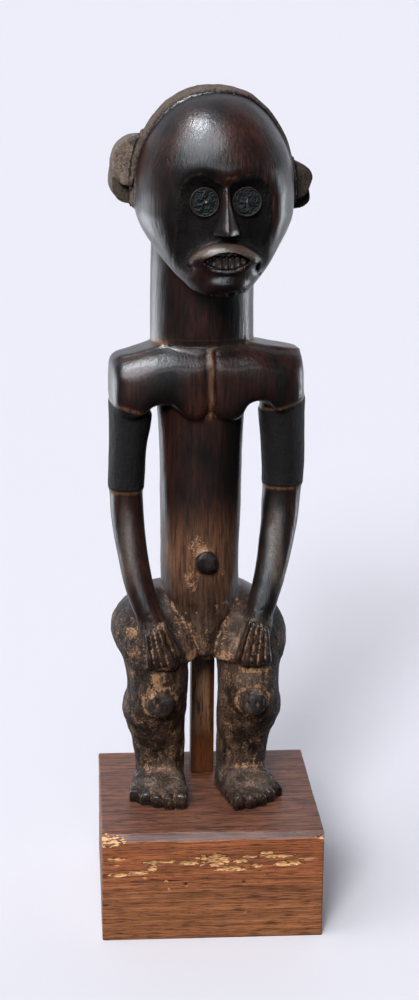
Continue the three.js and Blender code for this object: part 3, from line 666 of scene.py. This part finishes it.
def joined(shapes):
    """The points and faces of several skins as those of one."""
    starts = np.cumsum([0] + [len(points) for points, _ in shapes])
    faces = [faces + start for (_, faces), start in zip(shapes, starts)]
    return np.concatenate([points for points, _ in shapes]), np.concatenate(faces)


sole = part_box("figure")[0][2] / MM
parts = [
    stack(HEAD, 1, 300, 320, face_relief, 0.45), stack(NOSE, 1, 64, 60), bar(LIPS, 2.3), bar(LOWER_LIP, 2.6),
    knob((-0.5, -50, 488.5), (17, 12.5, 9)),
    stack(NECK, 1, 160, 160), stack(TORSO, 1, 160, 200), bar(CHEST, 4.8, 160, 320, 3.2),
    peg((NAVEL["x"], NAVEL["root"], NAVEL["z"] - 1), (NAVEL["x"], NAVEL["tip"], NAVEL["z"] + 1),
        NAVEL["radius"], NAVEL["radius"], power=2, end_power=5, sides=96, rows=60),
    peg((-9, -12, 201.5), (4.5, -12, 201.5), 2.4, 2.4, power=2, end_power=2),
]
parts += [tress(*step) for step in TRESS_STEPS]
for side in (-1, 1):
    parts += [stack(arm_table(side), side), sleeve(side), stack(HAND, side), *fingers(side)]
    parts.append(stack(LEG, side, 128, 220))
    knee_x = middle(KNEE["z"]) + side * KNEE["out"]
    ends = ((knee_x, KNEE["root"], KNEE["z"] - 2), (knee_x, KNEE["tip"], KNEE["z"] + 1))
    parts.append(peg(*ends, KNEE["half"], KNEE["rise"], power=2.1, end_power=7, sides=96, rows=60))
for place in FEET:
    parts += foot(place)
figure = mesh_object("fang_figure", *joined(parts))


def modify(obj, kind, **settings):
    """Applies one modifier to an object's mesh."""
    modifier = obj.modifiers.new(kind.lower(), kind)
    for name, value in settings.items():
        setattr(modifier, name, value)
    mesh = bpy.data.meshes.new_from_object(obj.evaluated_get(bpy.context.evaluated_depsgraph_get()))
    obj.modifiers.clear()
    old, obj.data = obj.data, mesh
    bpy.data.meshes.remove(old)


def read(items, name, width=3, kind=np.float32):
    """One property of all vertices or edges of a mesh as an array."""
    values = np.empty(len(items) * width, kind)
    items.foreach_get(name, values)
    return values.reshape(-1, width).astype(float if kind == np.float32 else kind)


def combine(obj, shape, operation="DIFFERENCE"):
    """Takes a closed shape out of an object, or joins it on."""
    tool = mesh_object("tool", *shape)
    modify(obj, "BOOLEAN", operation=operation, solver="MANIFOLD", object=tool)
    bpy.data.objects.remove(tool)


def bored(x, z, floor):
    """An outline seen from the front, carried back from before the face to a floor."""
    return closed_skin(x, np.linspace(-90, floor, 30)[:, None], z)


modify(figure, "REMESH", mode="VOXEL", voxel_size=VOXEL, adaptivity=0)
modify(figure, "SMOOTH", factor=0.5, iterations=2)

# The mouth opens between two parabolas that meet in its corners
across = np.concatenate([np.linspace(-1, 1, 40, endpoint=False), np.linspace(1, -1, 40, endpoint=False)])
gape = np.repeat([-MOUTH["drop"], MOUTH["rise"]], 40) * (1 - across ** 2)
combine(figure, bored(MOUTH["half"] * across, MOUTH["z"] + gape, MOUTH["floor"]))
angle = around(72)
for side in (-1, 1):
    x = side * EYE["out"] + EYE["radius"] * np.sin(angle)
    combine(figure, bored(x, EYE["z"] + EYE["radius"] * np.cos(angle), EYE["floor"]))
teeth = []
for i in range(MOUTH["teeth"]):
    x = 2 * MOUTH["half"] / (MOUTH["teeth"] + 1) * (i - (MOUTH["teeth"] - 1) / 2)
    away = (x / MOUTH["half"]) ** 2
    place = np.array([x, TOOTH["y"] + TOOTH["bow"] * away, TOOTH["z"]])
    reach = np.array([0, 0, (TOOTH["long"] - TOOTH["shorter"] * away) / 2])
    teeth.append(peg(place - reach, place + reach, TOOTH["half"], TOOTH["deep"], 5, 12))
combine(figure, joined(teeth), "UNION")
modify(figure, "REMESH", mode="VOXEL", voxel_size=VOXEL, adaptivity=0)


def dip(value, centre, half):
    """A rounded groove or ridge across a value: 1 at its centre, 0 from half a width away."""
    return np.clip(1 - ((value - centre) / half) ** 2, 0, 1) ** 2


def rim_distance(points):
    """How far points lie behind the sloping plane from which the hair begins."""
    lean = (RIM["front_top"] - RIM["front"]) / (RIM["high"] - RIM["low"])
    return (points[:, 1] - RIM["front"] - lean * (points[:, 2] - RIM["low"])) / np.hypot(1, lean)


def round_row(table, z):
    """Middle x, half width, front y and back y of a stack at each height."""
    row = stations(table, 600)
    out, half, front, back = (np.interp(z, row[:, 0], row[:, k]) for k in (1, 2, 3, 4))
    return middle(z) + out, half, front, back


def on_head(points, margin):
    """True on the skin of the head itself, up to a margin, and false on tresses and neck."""
    x, half, front, back = round_row(HEAD, np.minimum(points[:, 2], 605))
    across = (points[:, 0] - x) / (half + margin)
    along = (points[:, 1] - (front + back) / 2) / ((back - front) / 2 + margin)
    return (points[:, 2] > 500) & (across ** 2 + along ** 2 < 1.1)


def hair_height(points):
    """How far the hair stands out: a narrow band, a groove behind it, then an even cap."""
    s = rim_distance(points)
    steps = 1.4 * smooth(-0.9, 0.2, s) - 1.6 * dip(s, 1.7, 0.9) + 1.1 * smooth(1.9, 2.6, s)
    notch = 1.4 * dip(points[:, 0], -0.6, 1.6) * dip(s, 0.7, 2)
    low = smooth(533, 535, points[:, 2])
    bands = 0.3 * np.sin(s * 2 * np.pi / 7) * smooth(8, 12, s)
    return (steps - notch + bands) * low * on_head(points, 1)


def body_height(points, normals):
    """Grooves and ridges of neck, trunk and limbs, in millimetres outwards."""
    x, y, z = points.T
    off = x - middle(z)
    aside = np.abs(off)
    front, rear = smooth(0.2, 0.6, -normals[:, 1]), smooth(0.2, 0.6, normals[:, 1])
    seam = 1.1 * dip(x, SEAM_X, 3) - 0.35 * (dip(x, -6.6, 1.6) + dip(x, 1.2, 1.6))
    seam = seam + 0.4 * np.abs(np.sin(z * np.pi / 2.2)) * dip(x, -1, 1.5)
    seam = seam * front * smooth(380, 384, z) * smooth(436, 432, z)
    spine = dip(off, 1, 7) * rear * smooth(240, 262, z) * smooth(430, 400, z) * (np.abs(y) < 60)
    blades = dip(z - 0.35 * aside, 372, 3) * rear * smooth(52, 44, aside) * smooth(8, 14, aside)
    cleft = dip(off, -1, 6) * rear * smooth(196, 202, z) * smooth(243, 228, z)
    nape = (dip(z, 470, 2) + dip(z, 463, 2)) * rear * smooth(40, 34, aside)
    return seam - 1.4 * spine - 0.8 * blades - 4 * cleft - 0.5 * nape


def disc_texture(points, centre, reach, front):
    """1 on the face of a round disc that stands in front of a depth, dying away near its edge."""
    away = np.hypot(points[:, 0] - centre[0], points[:, 2] - centre[1])
    return smooth(reach, reach - 1.5, away) * (points[:, 1] < front)


def rough(points):
    """Marks of the knife: low facets about a centimetre across, and a finer unevenness. Legs and hair
    are left rougher than the polished parts."""
    z = points[:, 2]
    coarse = np.where(z < 240, 0.85, 0.22) + 0.3 * ((rim_distance(points) > 1) & (z > 530))
    facets = np.abs(value_noise(points, (11, 11, 17), 31)) - 0.35 + 0.5 * value_noise(points, (6, 6, 9), 32)
    fine = value_noise(points, (2.6, 2.6, 4.5), 33)
    crusted = disc_texture(points, (NAVEL["x"], NAVEL["z"]), 7.5, -17)
    for side in (-1, 1):
        crusted = crusted + disc_texture(points, (middle(KNEE["z"]) + side * KNEE["out"], KNEE["z"]), 9, -27)
    return coarse * facets + (0.35 * coarse + 0.35 * crusted) * fine


CHIPS = [  # centre, reach and depth of lost flakes: under the chin, by the mouth and on the forehead
    ((-9, -60, 481), (5, 8, 3), 1.4), ((2, -61, 480.5), (6, 8, 2.6), 1.6),
    ((11, -60, 482), (4, 8, 3.4), 1.2), ((23, -52, 500), (2.4, 6, 5), 1.6),
    ((25.5, -50, 492), (2, 6, 4), 1.2), ((0.1, -57.5, 561), (3, 4, 1.2), 0.7),
    ((-13, -46, 602), (1.6, 5, 2.4), 0.5), ((-10, -44, 606), (2.2, 5, 1.2), 0.5),
]


def bevel(points):
    """How far points move where planes are taken off the upper front edge of the chest, to a slope from
    collar to front. It is widest at the shoulders and narrow below the neck."""
    x, y, z = points.T
    row = stations(CHEST, 400)
    top, front = np.interp(x, row[:, 0], row[:, 2]), np.interp(x, row[:, 0], row[:, 3])
    down = 4.5 + 7 * smooth(4, 36, np.abs(x - SEAM_X))
    q = (z - (top - down) - (y - front)) * np.sqrt(0.5)
    q = 0.5 * (q + np.sqrt(q ** 2 + 40)) * smooth(-15, -4, q) * smooth(396, 404, z)
    q = q * smooth(front + 18, front + 13, y) * smooth(top + 3, top + 1, z)
    return 0.85 * q[:, None] * np.array([0, 1, -1]) * np.sqrt(0.5)


points, normals = read(figure.data.vertices, "co"), read(figure.data.vertices, "normal")
height = hair_height(points) + body_height(points, normals) + rough(points)
height = height - patches(points, CHIPS, 1.1, 0.6, 0.5 * value_noise(points, 2.2, 34))
points = points + normals * height[:, None] + bevel(points)


def hollowness(points, normals, edges, rounds):
    """How far, in millimetres, each point lies below the mean of its surroundings: creases come out
    positive and crests negative. The mean spreads along the edges, one step in each round."""
    a, b = edges.T
    count = np.bincount(edges.ravel(), minlength=len(points))[:, None]
    mean = points
    for _ in range(rounds):
        spread = [np.bincount(a, mean[b, k], len(points)) + np.bincount(b, mean[a, k], len(points))
                  for k in range(3)]
        mean = (mean + np.stack(spread, -1) / count) / 2
    return np.sum((mean - points) * normals, axis=1)


edges = read(figure.data.edges, "vertices", 2, np.int32)
for _ in range(2):  # the finest unevenness comes off wherever the polished surface is nearly flat
    figure.data.vertices.foreach_set("co", points.astype(np.float32).ravel())
    figure.data.update()
    normals = read(figure.data.vertices, "normal")
    fine = hollowness(points, normals, edges, 8)
    level = smooth(0.25, 0.1, np.abs(fine)) * smooth(238, 246, points[:, 2])
    points = points + normals * (fine * level)[:, None]


def turned(points, way=1):
    """The body above the legs is turned a few degrees about an upright line; way -1 turns it back."""
    angle = way * np.radians(TURN["degrees"]) * smooth(TURN["from"], TURN["to"], points[:, 2])
    x, y = points[:, 0] - TURN["x"], points[:, 1] - TURN["y"]
    return np.stack([TURN["x"] + x * np.cos(angle) - y * np.sin(angle),
                     TURN["y"] + x * np.sin(angle) + y * np.cos(angle), points[:, 2]], -1)


points[:, 2] = np.maximum(points[:, 2], sole)
figure.data.vertices.foreach_set("co", turned(points).astype(np.float32).ravel())
figure.data.update()
post_low, post_high = np.array(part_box("support_post")) / MM
combine(figure, block_skin(post_low - (0.3, 0.3, 5), post_high + 0.3, (6, 6, 40), 0.1))
triangles = sum(len(polygon.vertices) - 2 for polygon in figure.data.polygons)
modify(figure, "DECIMATE", ratio=min(1, FACE_LIMIT / triangles))
figure.data.name = "fang_figure"


OCHRE = [  # places rubbed or dusted with ochre: centre, reach and amount
    ((-41, -27, 190), (7, 14, 13), 1), ((-46, -25, 178), (5, 12, 9), 0.7),
    ((-30, -25, 178), (4, 12, 8), 0.7), ((-52, -20, 205), (10, 20, 22), 0.55),
    ((32, -27, 193), (19, 12, 4), 0.8), ((8, -20, 200), (9, 12, 8), 0.75),
    ((-14, -18, 202), (9, 12, 9), 0.75), ((34, -26, 157), (9, 12, 4), 0.6), ((-46, -5, 104), (5, 12, 5), 1),
    ((-50, -20, 150), (6, 20, 30), 0.5), ((30, -10, 103), (9, 12, 4), 0.6),
    ((-12, -17, 285), (15, 12, 14), 0.56), ((-18, -17, 262), (14, 12, 24), 0.46),
    ((8, -17, 268), (6, 12, 18), 0.45), ((-23, -16, 300), (5, 12, 20), 0.4),
    ((-38, -26, 230), (14, 12, 6), 0.6), ((-60, -8, 219), (6, 12, 5), 0.8),
    ((-25, -10, 225), (8, 16, 12), 0.5),
]
# dry grey brown places, and two painted sheens on the forearms
GREY_AND_SHEEN = [  # dry grey brown places
    ((-33, -8, 98), (22, 26, 12), 0.7), ((30, -12, 98), (22, 26, 12), 0.5),
    ((20, -18, 215), (9, 16, 22), 0.6), ((30, -26, 184), (20, 12, 12), 0.45),
    ((0, 20, 436), (66, 30, 9), 0.35), ((0, -53, 503.5), (17, 5, 7), 0.3),
    # painted sheen down the fronts of the forearms
    ((-65, -12, 292), (6, 20, 42), 0.24), ((47, -12, 284), (7, 20, 46), 0.33),
]
SCRATCHES = [  # on the face, all along y; x is counted from the middle line
    ((-31.5, 0, 543.5), (0.9, np.inf, 7), 1), ((27, 0, 558), (0.7, np.inf, 5), 1),
    ((2, 0, 561.5), (4.5, np.inf, 0.8), 1), ((34, 0, 542), (0.7, np.inf, 5), 1),
]
KNEE_X = (-37.5, 33)  # middles of the dark discs on the knees
SHINY = [((knee, -31, 168), (11, 5, 11), 0.4) for knee in KNEE_X] + [((-5.8, -20, 276), (9, 3, 7), 0.2)]
NECK_POWER = 2.15  # squareness of the neck where the line runs round it

# Each point's place, its slope, and how far it lies in a crease or on a crest
edges = read(figure.data.edges, "vertices", 2, np.int32)
points, normals = turned(read(figure.data.vertices, "co"), -1), read(figure.data.vertices, "normal")
x, y, z = points.T
off = x - middle(z)
aside = np.abs(off)
front = smooth(-0.1, 0.4, -normals[:, 1])
wide, narrow = hollowness(points, normals, edges, 10), hollowness(points, normals, edges, 3)
crease, crest = smooth(0.1, 0.55, wide), smooth(0.12, 0.5, -wide)
groove = np.maximum(crease, smooth(0.03, 0.16, narrow))

# Head: hair, tresses, face hollow, lips and scratches
tresses = (z > 528) & (aside > 58) & (y > 2)
hair = smooth(1.7, 2.2, rim_distance(points)) * on_head(points, 4.5) * smooth(531, 534, z)
hair = np.maximum(hair, tresses)
shelf = tresses * smooth(9, 11, y) * smooth(0.5, 0.8, -normals[:, 1])
edge_gloss = tresses * dip(z, 549.5, 1.4) * smooth(10, 6, y) * (off < 0)
lips = smooth(29, 25, aside) * smooth(494, 497, z) * smooth(521, 518, z) * smooth(-49.5, -51.5, y)
# painted sheen: a light crescent along the upper lip, in the dust colour
lip_away = np.abs(z - 513.8 + 9.5 * (off / 26) ** 2) / (3.7 * np.clip(1.12 - (off / 28) ** 2, 0.05, 1))
lip_sheen = smooth(1.25, 0.5, lip_away) * smooth(29, 26, aside) * smooth(-49, -51, y)
muzzle = smooth(42, 30, aside) * smooth(524, 515, z) * smooth(-42, -48, y) * (z > 465) * (1 - lip_sheen)
pressed = face_relief(x, z, 0) / FACE["hollow"] * (y < -30)
# painted shade: the face hollow under the brow is darkened
heart = smooth(0.02, 0.4, pressed) * smooth(-55.5, -53, y) * (1 - 0.6 * lips)
scratches = patches(np.stack([off, y, z], -1), SCRATCHES, 1.4, 0.6) * (y < -20)

# Arms and trunk: sleeves between pale rings, the line round the neck, the seam of the chest
arm_out = round_row(ARMS, np.clip(z, 215, 397))[0] - middle(z)
arm_z = z - (aside - arm_out) * SLEEVE["tilt"] * smooth(356, 388, z)
on_arm = smooth(38, 42, aside) * (z > 225)
sleeves = smooth(325.6, 327, z) * smooth(388.4, 387, arm_z) * on_arm
rings = (dip(z, 325, 2.2) + dip(arm_z, 389, 2.2)) * on_arm * smooth(-0.9, -0.2, -normals[:, 1])
neck_x, neck_half, neck_front, neck_back = round_row(NECK, z)
neck_y, neck_deep = (neck_front + neck_back) / 2, (neck_back - neck_front) / 2
neck_across, neck_along = np.abs((x - neck_x) / neck_half), np.abs((y - neck_y) / neck_deep)
neck_level = (neck_across ** NECK_POWER + neck_along ** NECK_POWER) ** (1 / NECK_POWER)
neck_line = dip(neck_level, 1.012, 0.05) * dip(z, 432.6 + 3.9 * smooth(-10, 4, y), 2.6)
breast_line = 0.35 * crease * smooth(368, 374, z) * smooth(394, 388, z) * (aside < 44)
sternum = dip(x, SEAM_X, 3) * smooth(378, 384, z) * smooth(437, 433, z) * front
belly = front * smooth(318, 285, z) * (aside < 32)
navel = disc_texture(points, (NAVEL["x"], NAVEL["z"]), 9.5, -15)
warm_belly = 0.5 * front * smooth(328, 276, z) * (0.35 + 0.65 * smooth(240, 275, z)) * smooth(42, 20, aside)
warm_belly = warm_belly * (1 - navel)

# Legs and hands: dry wood, dark knees, toes darkened by painted shadow, ridges of fingers, pits of the adze
legs = smooth(240, 222, z)
low_crease = groove * smooth(262, 240, z)
knees = patches(points, [((knee, -30, 168), (12, 5, 11.5), 1) for knee in KNEE_X])
knees = knees * smooth(-29, -29.8, y)
hands = smooth(194, 200, z) * smooth(238, 230, z) * smooth(-18, -24, y)
ridges = smooth(0.02, 0.14, -narrow) * np.maximum(hands, smooth(112, 104, z))
pits = smooth(0.02, -0.3, rough(points)) * legs
# painted shadow: the toes' fronts and the feet's lower edge, where they meet the block
toes = np.maximum(smooth(93, 88, z) * front, 0.7 * smooth(84, 80, z))

ochre = np.max([
    patches(points, OCHRE), 0.95 * low_crease, 0.43 * legs * (1 - 0.3 * knees), 0.28 * belly,
], axis=0)
for side in (-1, 1):
    away = np.hypot(x - middle(KNEE["z"]) - side * KNEE["out"], z - KNEE["z"])
    ochre = np.maximum(ochre, 0.85 * dip(away, 12.5, 2.4) * (y < -18) * (z > 150))
ochre = ochre * (1 - 0.6 * navel) * (1 - 0.75 * ridges)
seam = np.max([
    0.7 * rings, neck_line, breast_line, 0.6 * sternum, 0.3 * low_crease, warm_belly, 0.65 * scratches,
], axis=0)
# the right tress takes less dust than the left, and is darkened, as painted shade
hair_dust = hair * np.where(tresses, np.where(off < 0, 1, 0.35), 0.5)
# dust, and the painted sheens of the forearms and upper lip
dusty = np.max([hair_dust, patches(points, GREY_AND_SHEEN), 0.1 * legs, 0.42 * lip_sheen], axis=0)
polish = 0.95 - 0.22 * dip(z, 570, 16) * front * smooth(60, 40, aside) - 0.6 * crease - 0.7 * heart
polish = polish - 0.3 * belly - 0.25 * smooth(432, 438, z) * smooth(450, 440, z) * smooth(40, 46, aside)
polish = polish * (1 - 0.75 * legs * (aside < 80)) * (1 - 0.75 * sleeves) * (1 - 0.95 * hair)
polish = polish * (1 - 0.6 * np.clip(ochre, 0, 1)) + 0.35 * crest * legs + 0.6 * ridges
polish = polish + patches(points, SHINY) + 0.9 * edge_gloss
# painted shade: creases darkened, fully above z 300 and faintly below
deep = crease * np.where(z > 300, 1 - np.clip(neck_line + 2 * breast_line, 0, 1), 0.2 * (ochre < 0.3))
# Near black: painted shade in creases, in the face hollow and on the right tress, painted shadow at the toes
# where they meet the block, dark wood on finger ridges, knee discs and navel, darker low spots of the adze
# marks, and a darkening of the muzzle and of the tresses' lower step
soot = np.max([
    deep, heart, 0.9 * toes, 0.45 * muzzle, 0.5 * ridges, 0.75 * knees, 0.65 * shelf,
    0.5 * tresses * (off > 0), 0.7 * pits, 0.5 * navel,
], axis=0)
store(figure, ochre=ochre * (1 - hair), seam=seam, dusty=dusty * (1 - 0.7 * edge_gloss), polish=polish,
      sleeve=sleeves, soot=soot)


# Dark hardwood, oiled: nearly black with red brown streaks under a deep polish, and dry brown with
# ochre rubbed into its creases where it was not polished. Hair is a dusty grey brown without gloss.
def oiled_hardwood():
    material, add, shader = new_material("oiled_hardwood")
    place = add("TexCoord").outputs["Object"]
    ochre, seam, dusty, polish, sleeve, soot = (
        add("Attribute", attribute_name=name).outputs["Fac"]
        for name in ("ochre", "seam", "dusty", "polish", "sleeve", "soot"))
    fibres = grain_noise(add, place, (520, 520, 45), Detail=4, Roughness=0.6, Distortion=0.4)
    broad = grain_noise(add, place, (38, 38, 12), Detail=3)
    stain = grain_noise(add, place, (260, 260, 110), Detail=4, Roughness=0.65)
    grit = add("TexNoise", {"Vector": place, "Scale": 700, "Detail": 4, "Roughness": 0.7})
    blotch = add("TexNoise", {"Vector": place, "Scale": 130, "Detail": 3, "Roughness": 0.6})
    streak = add("MapRange", (fibres, 0.3, 0.75))
    red = add("Math", (add("MapRange", (broad, 0.42, 0.68)), streak), operation="MULTIPLY")
    black = add("Mix", (red, "#120d0d", "#4d2a20"), data_type="RGBA")
    plain = add("Mix", (streak, "#120e0c", "#5a463b"), data_type="RGBA")
    dry = add("Mix", (add("MapRange", (stain, 0.42, 0.56)), "#0b0808", plain), data_type="RGBA")
    glossy = add("MapRange", (polish, 0.3, 0.7))
    dust = add("Mix", (add("MapRange", (grit, 0.25, 0.75)), "#2b221d", "#a89384"), data_type="RGBA")
    patchy = add("Math", (blotch, 1.6, 0.1), operation="MULTIPLY_ADD")
    dusted_and_sheen = add("Math", (dusty, patchy), operation="MULTIPLY", use_clamp=True)
    broken = add("Math", (blotch, 0.7, grit), operation="MULTIPLY_ADD")
    uneven_rub = add("Math", (broken, 3.2, -1.72), operation="MULTIPLY_ADD")
    rubbed = add("Math", (ochre, uneven_rub), operation="MULTIPLY")
    rub = add("MapRange", (rubbed, 0.5, 0.74, 0, 0.9))
    earth = add("Mix", (grit, "#553a29", "#d6a67e"), data_type="RGBA")
    worn = add("Math", (streak, 1.1, 0.1), operation="MULTIPLY_ADD")
    line = add("Math", (seam, worn), operation="MULTIPLY")
    # near black, partly the dark wood and partly painted shade
    sooty = add("Math", (soot, 0.95), operation="MULTIPLY")
    colour = add("Mix", (glossy, dry, black), data_type="RGBA")
    # the dust colour also paints the sheens on the forearms and the upper lip
    for amount, over in ((dusted_and_sheen, dust), (rub, earth), (line, "#96694c"), (sleeve, "#1d1b1c"),
                         (sooty, "#070505")):
        colour = add("Mix", (amount, colour, over), data_type="RGBA")
    film = add("MapRange", (polish, 0.3, 0.95, 0, 0.7))
    dull = add("MapRange", (polish, 0, 1, 0.62, 0.4))
    uneven = add("Math", (blotch, 0.14, -0.07), operation="MULTIPLY_ADD")
    gloss = add("Math", (dull, uneven), operation="ADD")
    coarse = add("Math", (stain, 1.6, grit), operation="MULTIPLY_ADD")
    height = add("Mix", (glossy, coarse, fibres))
    strength = add("MapRange", (polish, 0, 1, 0.8, 0.2))
    bump = add("Bump", {"Height": height, "Strength": strength, "Distance": 0.0012})
    set_inputs(shader, {
        "Base Color": colour, "Roughness": gloss, "Specular IOR Level": 0.16, "Normal": bump,
        "Coat Weight": film, "Coat Roughness": 0.28, "Coat Normal": bump,
    })
    return material


figure.data.materials.clear()
figure.data.polygons.foreach_set("material_index", np.zeros(len(figure.data.polygons), np.int32))
dress(figure, oiled_hardwood())
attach(figure, "root")
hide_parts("figure")

# Eye discs: two round cakes of dark resin, pressed into drilled hollows while soft. Their crust is
# cracked and glossy, in a thin red brown rim. The left one has a small pale spot near its middle, the
# right one a scratch.

EYE_RIM = 9.4  # radius at which the rim begins


def disc_skin(centre, radius, front, back, seed):
    """A disc seen from the front: rings of radius r at angle a, slightly domed, with a crust of noise
    and a bead round its rim, then its edge and its flat back."""
    angle = around(96)[None, :]
    edge = [radius - 0.1, radius, radius, radius - 0.3, 0.3]
    r = np.concatenate([np.linspace(0.15, radius - 0.4, 46), edge])[:, None]
    dome = 0.35 * (1 - (r / radius) ** 2)
    bead = 0.35 * dip(r, (EYE_RIM + radius) / 2 - 0.1, 0.7)
    flat = np.stack(np.broadcast_arrays(r * np.sin(angle), 0, r * np.cos(angle)), -1)
    crust = 0.4 * value_noise(flat, 2.1, seed) + 0.3 * value_noise(flat, 0.9, seed + 1)
    y = front + 0.75 - dome - bead - np.maximum(crust, -0.4) * smooth(EYE_RIM, EYE_RIM - 1, r)
    y = np.maximum(y, front)
    y[-4] = front + 0.9
    y[-3] = y[-2] = y[-1] = back
    return closed_skin(centre[0] + flat[..., 0], y, centre[1] + flat[..., 2])


# Resin: blue black and glassy where it is whole, duller in its cracks, red brown round the rim.
def dark_resin():
    material, add, shader = new_material("dark_resin")
    place = add("TexCoord").outputs["Object"]
    rim, mark = (add("Attribute", attribute_name=name).outputs["Fac"] for name in ("rim", "mark"))
    crust = add("TexNoise", {"Vector": place, "Scale": 900, "Detail": 4, "Roughness": 0.7})
    colour = add("Mix", (crust, "#040506", "#0f1518"), data_type="RGBA")
    for amount, over in ((rim, "#2a1914"), (mark, "#d6c8b4")):
        colour = add("Mix", (amount, colour, over), data_type="RGBA")
    gloss = add("MapRange", (crust, 0, 1, 0.3, 0.65))
    bump = add("Bump", {"Height": crust, "Strength": 0.8, "Distance": 0.0006})
    set_inputs(shader, {"Base Color": colour, "Roughness": gloss, "Specular IOR Level": 0.3, "Normal": bump})
    return material


resin = dark_resin()
for side, word in ((-1, "left"), (1, "right")):
    centre = (side * EYE["out"], EYE["z"])
    points, faces = disc_skin(centre, 10.3, -51.15, -49.05, 41 + side)
    eye = mesh_object("resin_eye_" + word, turned(points), faces)
    across, up = points[:, 0] - centre[0], points[:, 2] - centre[1]
    # grain is the left disc's small pale spot
    grain, scratch = dip(across, 0.8, 1) * dip(up, 0.2, 0.8), 0.4 * dip(across, 0, 0.5) * dip(up, 0, 3.6)
    store(eye, rim=smooth(EYE_RIM - 0.5, EYE_RIM + 0.2, np.hypot(across, up)),
          mark=grain if side < 0 else scratch)
    dress(eye, resin)
    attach(eye, "root")
    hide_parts("eye_disc_" + word)

# Studio: pale paper in a room that the camera sees pale all round, and that is bright only behind the
# figure for gloss and light. Two wide suns light all but the gloss, and throw a soft shadow to the back
# right. Oval softboxes show in the gloss alone.

FLOOR_HALF = 60
LAMP_COLOUR = (0.88, 0.94, 1)
SOFTBOXES = [  # name, place, point it is turned to, width and height, power
    ("key", (-0.46, -0.74, 1.5), (0, 0, 0.55), (1.6, 1.35), 34),
    ("key_middle", (-0.46, -0.24, 1.7), (0, 0, 0.55), (0.26, 0.26), 13),
    ("card", (0, -1.9, 0.92), (0, 0, 0.35), (1.7, 0.4), 8),
    ("left", (-0.85, 0.5, 0.22), (0, 0, 0.4), (0.9, 0.4), 3.8),
    ("right", (1, 0.3, 0.33), (0, 0, 0.45), (0.08, 0.68), 4.2),
]
SUNS = [  # direction towards the light, spread in radians, strength
    ((-0.36, -1, 0.66), 0.3, 2.5), ((-0.6, -0.5, 1), 1.3, 2.15),
]

corners = FLOOR_HALF * np.array([(-1, -1, 0), (1, -1, 0), (1, 1, 0), (-1, 1, 0)])
paper = mesh_object("paper", corners, np.array([(0, 1, 2, 3)]))
material, _, shader = new_material("matt_paper")
set_inputs(shader, {"Base Color": "#e1e1ea", "Roughness": 0.9, "Specular IOR Level": 0.1})
paper.data.materials.append(material)
paper.visible_glossy = paper.visible_diffuse = False


def lamp(name, kind, place, aim, **settings):
    """A light at a place, turned to a point."""
    data = bpy.data.lights.new(name, kind)
    for setting, value in settings.items():
        setattr(data, setting, value)
    light = bpy.data.objects.new(name, data)
    light.location = place
    light.rotation_euler = (Vector(aim) - Vector(place)).to_track_quat("-Z", "Y").to_euler()
    bpy.context.scene.collection.objects.link(light)
    return light


for name, place, aim, (width, height), power in SOFTBOXES:
    box = lamp(name, "AREA", place, aim, shape="ELLIPSE", size=width, size_y=height, energy=power,
               color=LAMP_COLOUR)
    box.visible_diffuse = False
for number, (towards, spread, power) in enumerate(SUNS):
    sun = lamp(f"even_{number}", "SUN", towards, (0, 0, 0), energy=power, angle=spread)
    sun.visible_glossy = False

world = bpy.data.worlds.new("studio")
bpy.context.scene.world = world
world.use_nodes = True
world.node_tree.nodes.clear()
add = partial(add_node, world.node_tree)
towards = add("SeparateXYZ", {"Vector": add("TexCoord").outputs["Generated"]}).outputs["Y"]
behind = add("MapRange", (towards, 0.05, 0.8, 0.03, 0.8), interpolation_type="SMOOTHSTEP")
seen = add("Mix", (add("LightPath").outputs["Is Camera Ray"], behind, 1))
add("OutputWorld", {"Surface": add("Background", ("#eef0fb", seen))})
bpy.context.scene.view_settings.view_transform = "Standard"
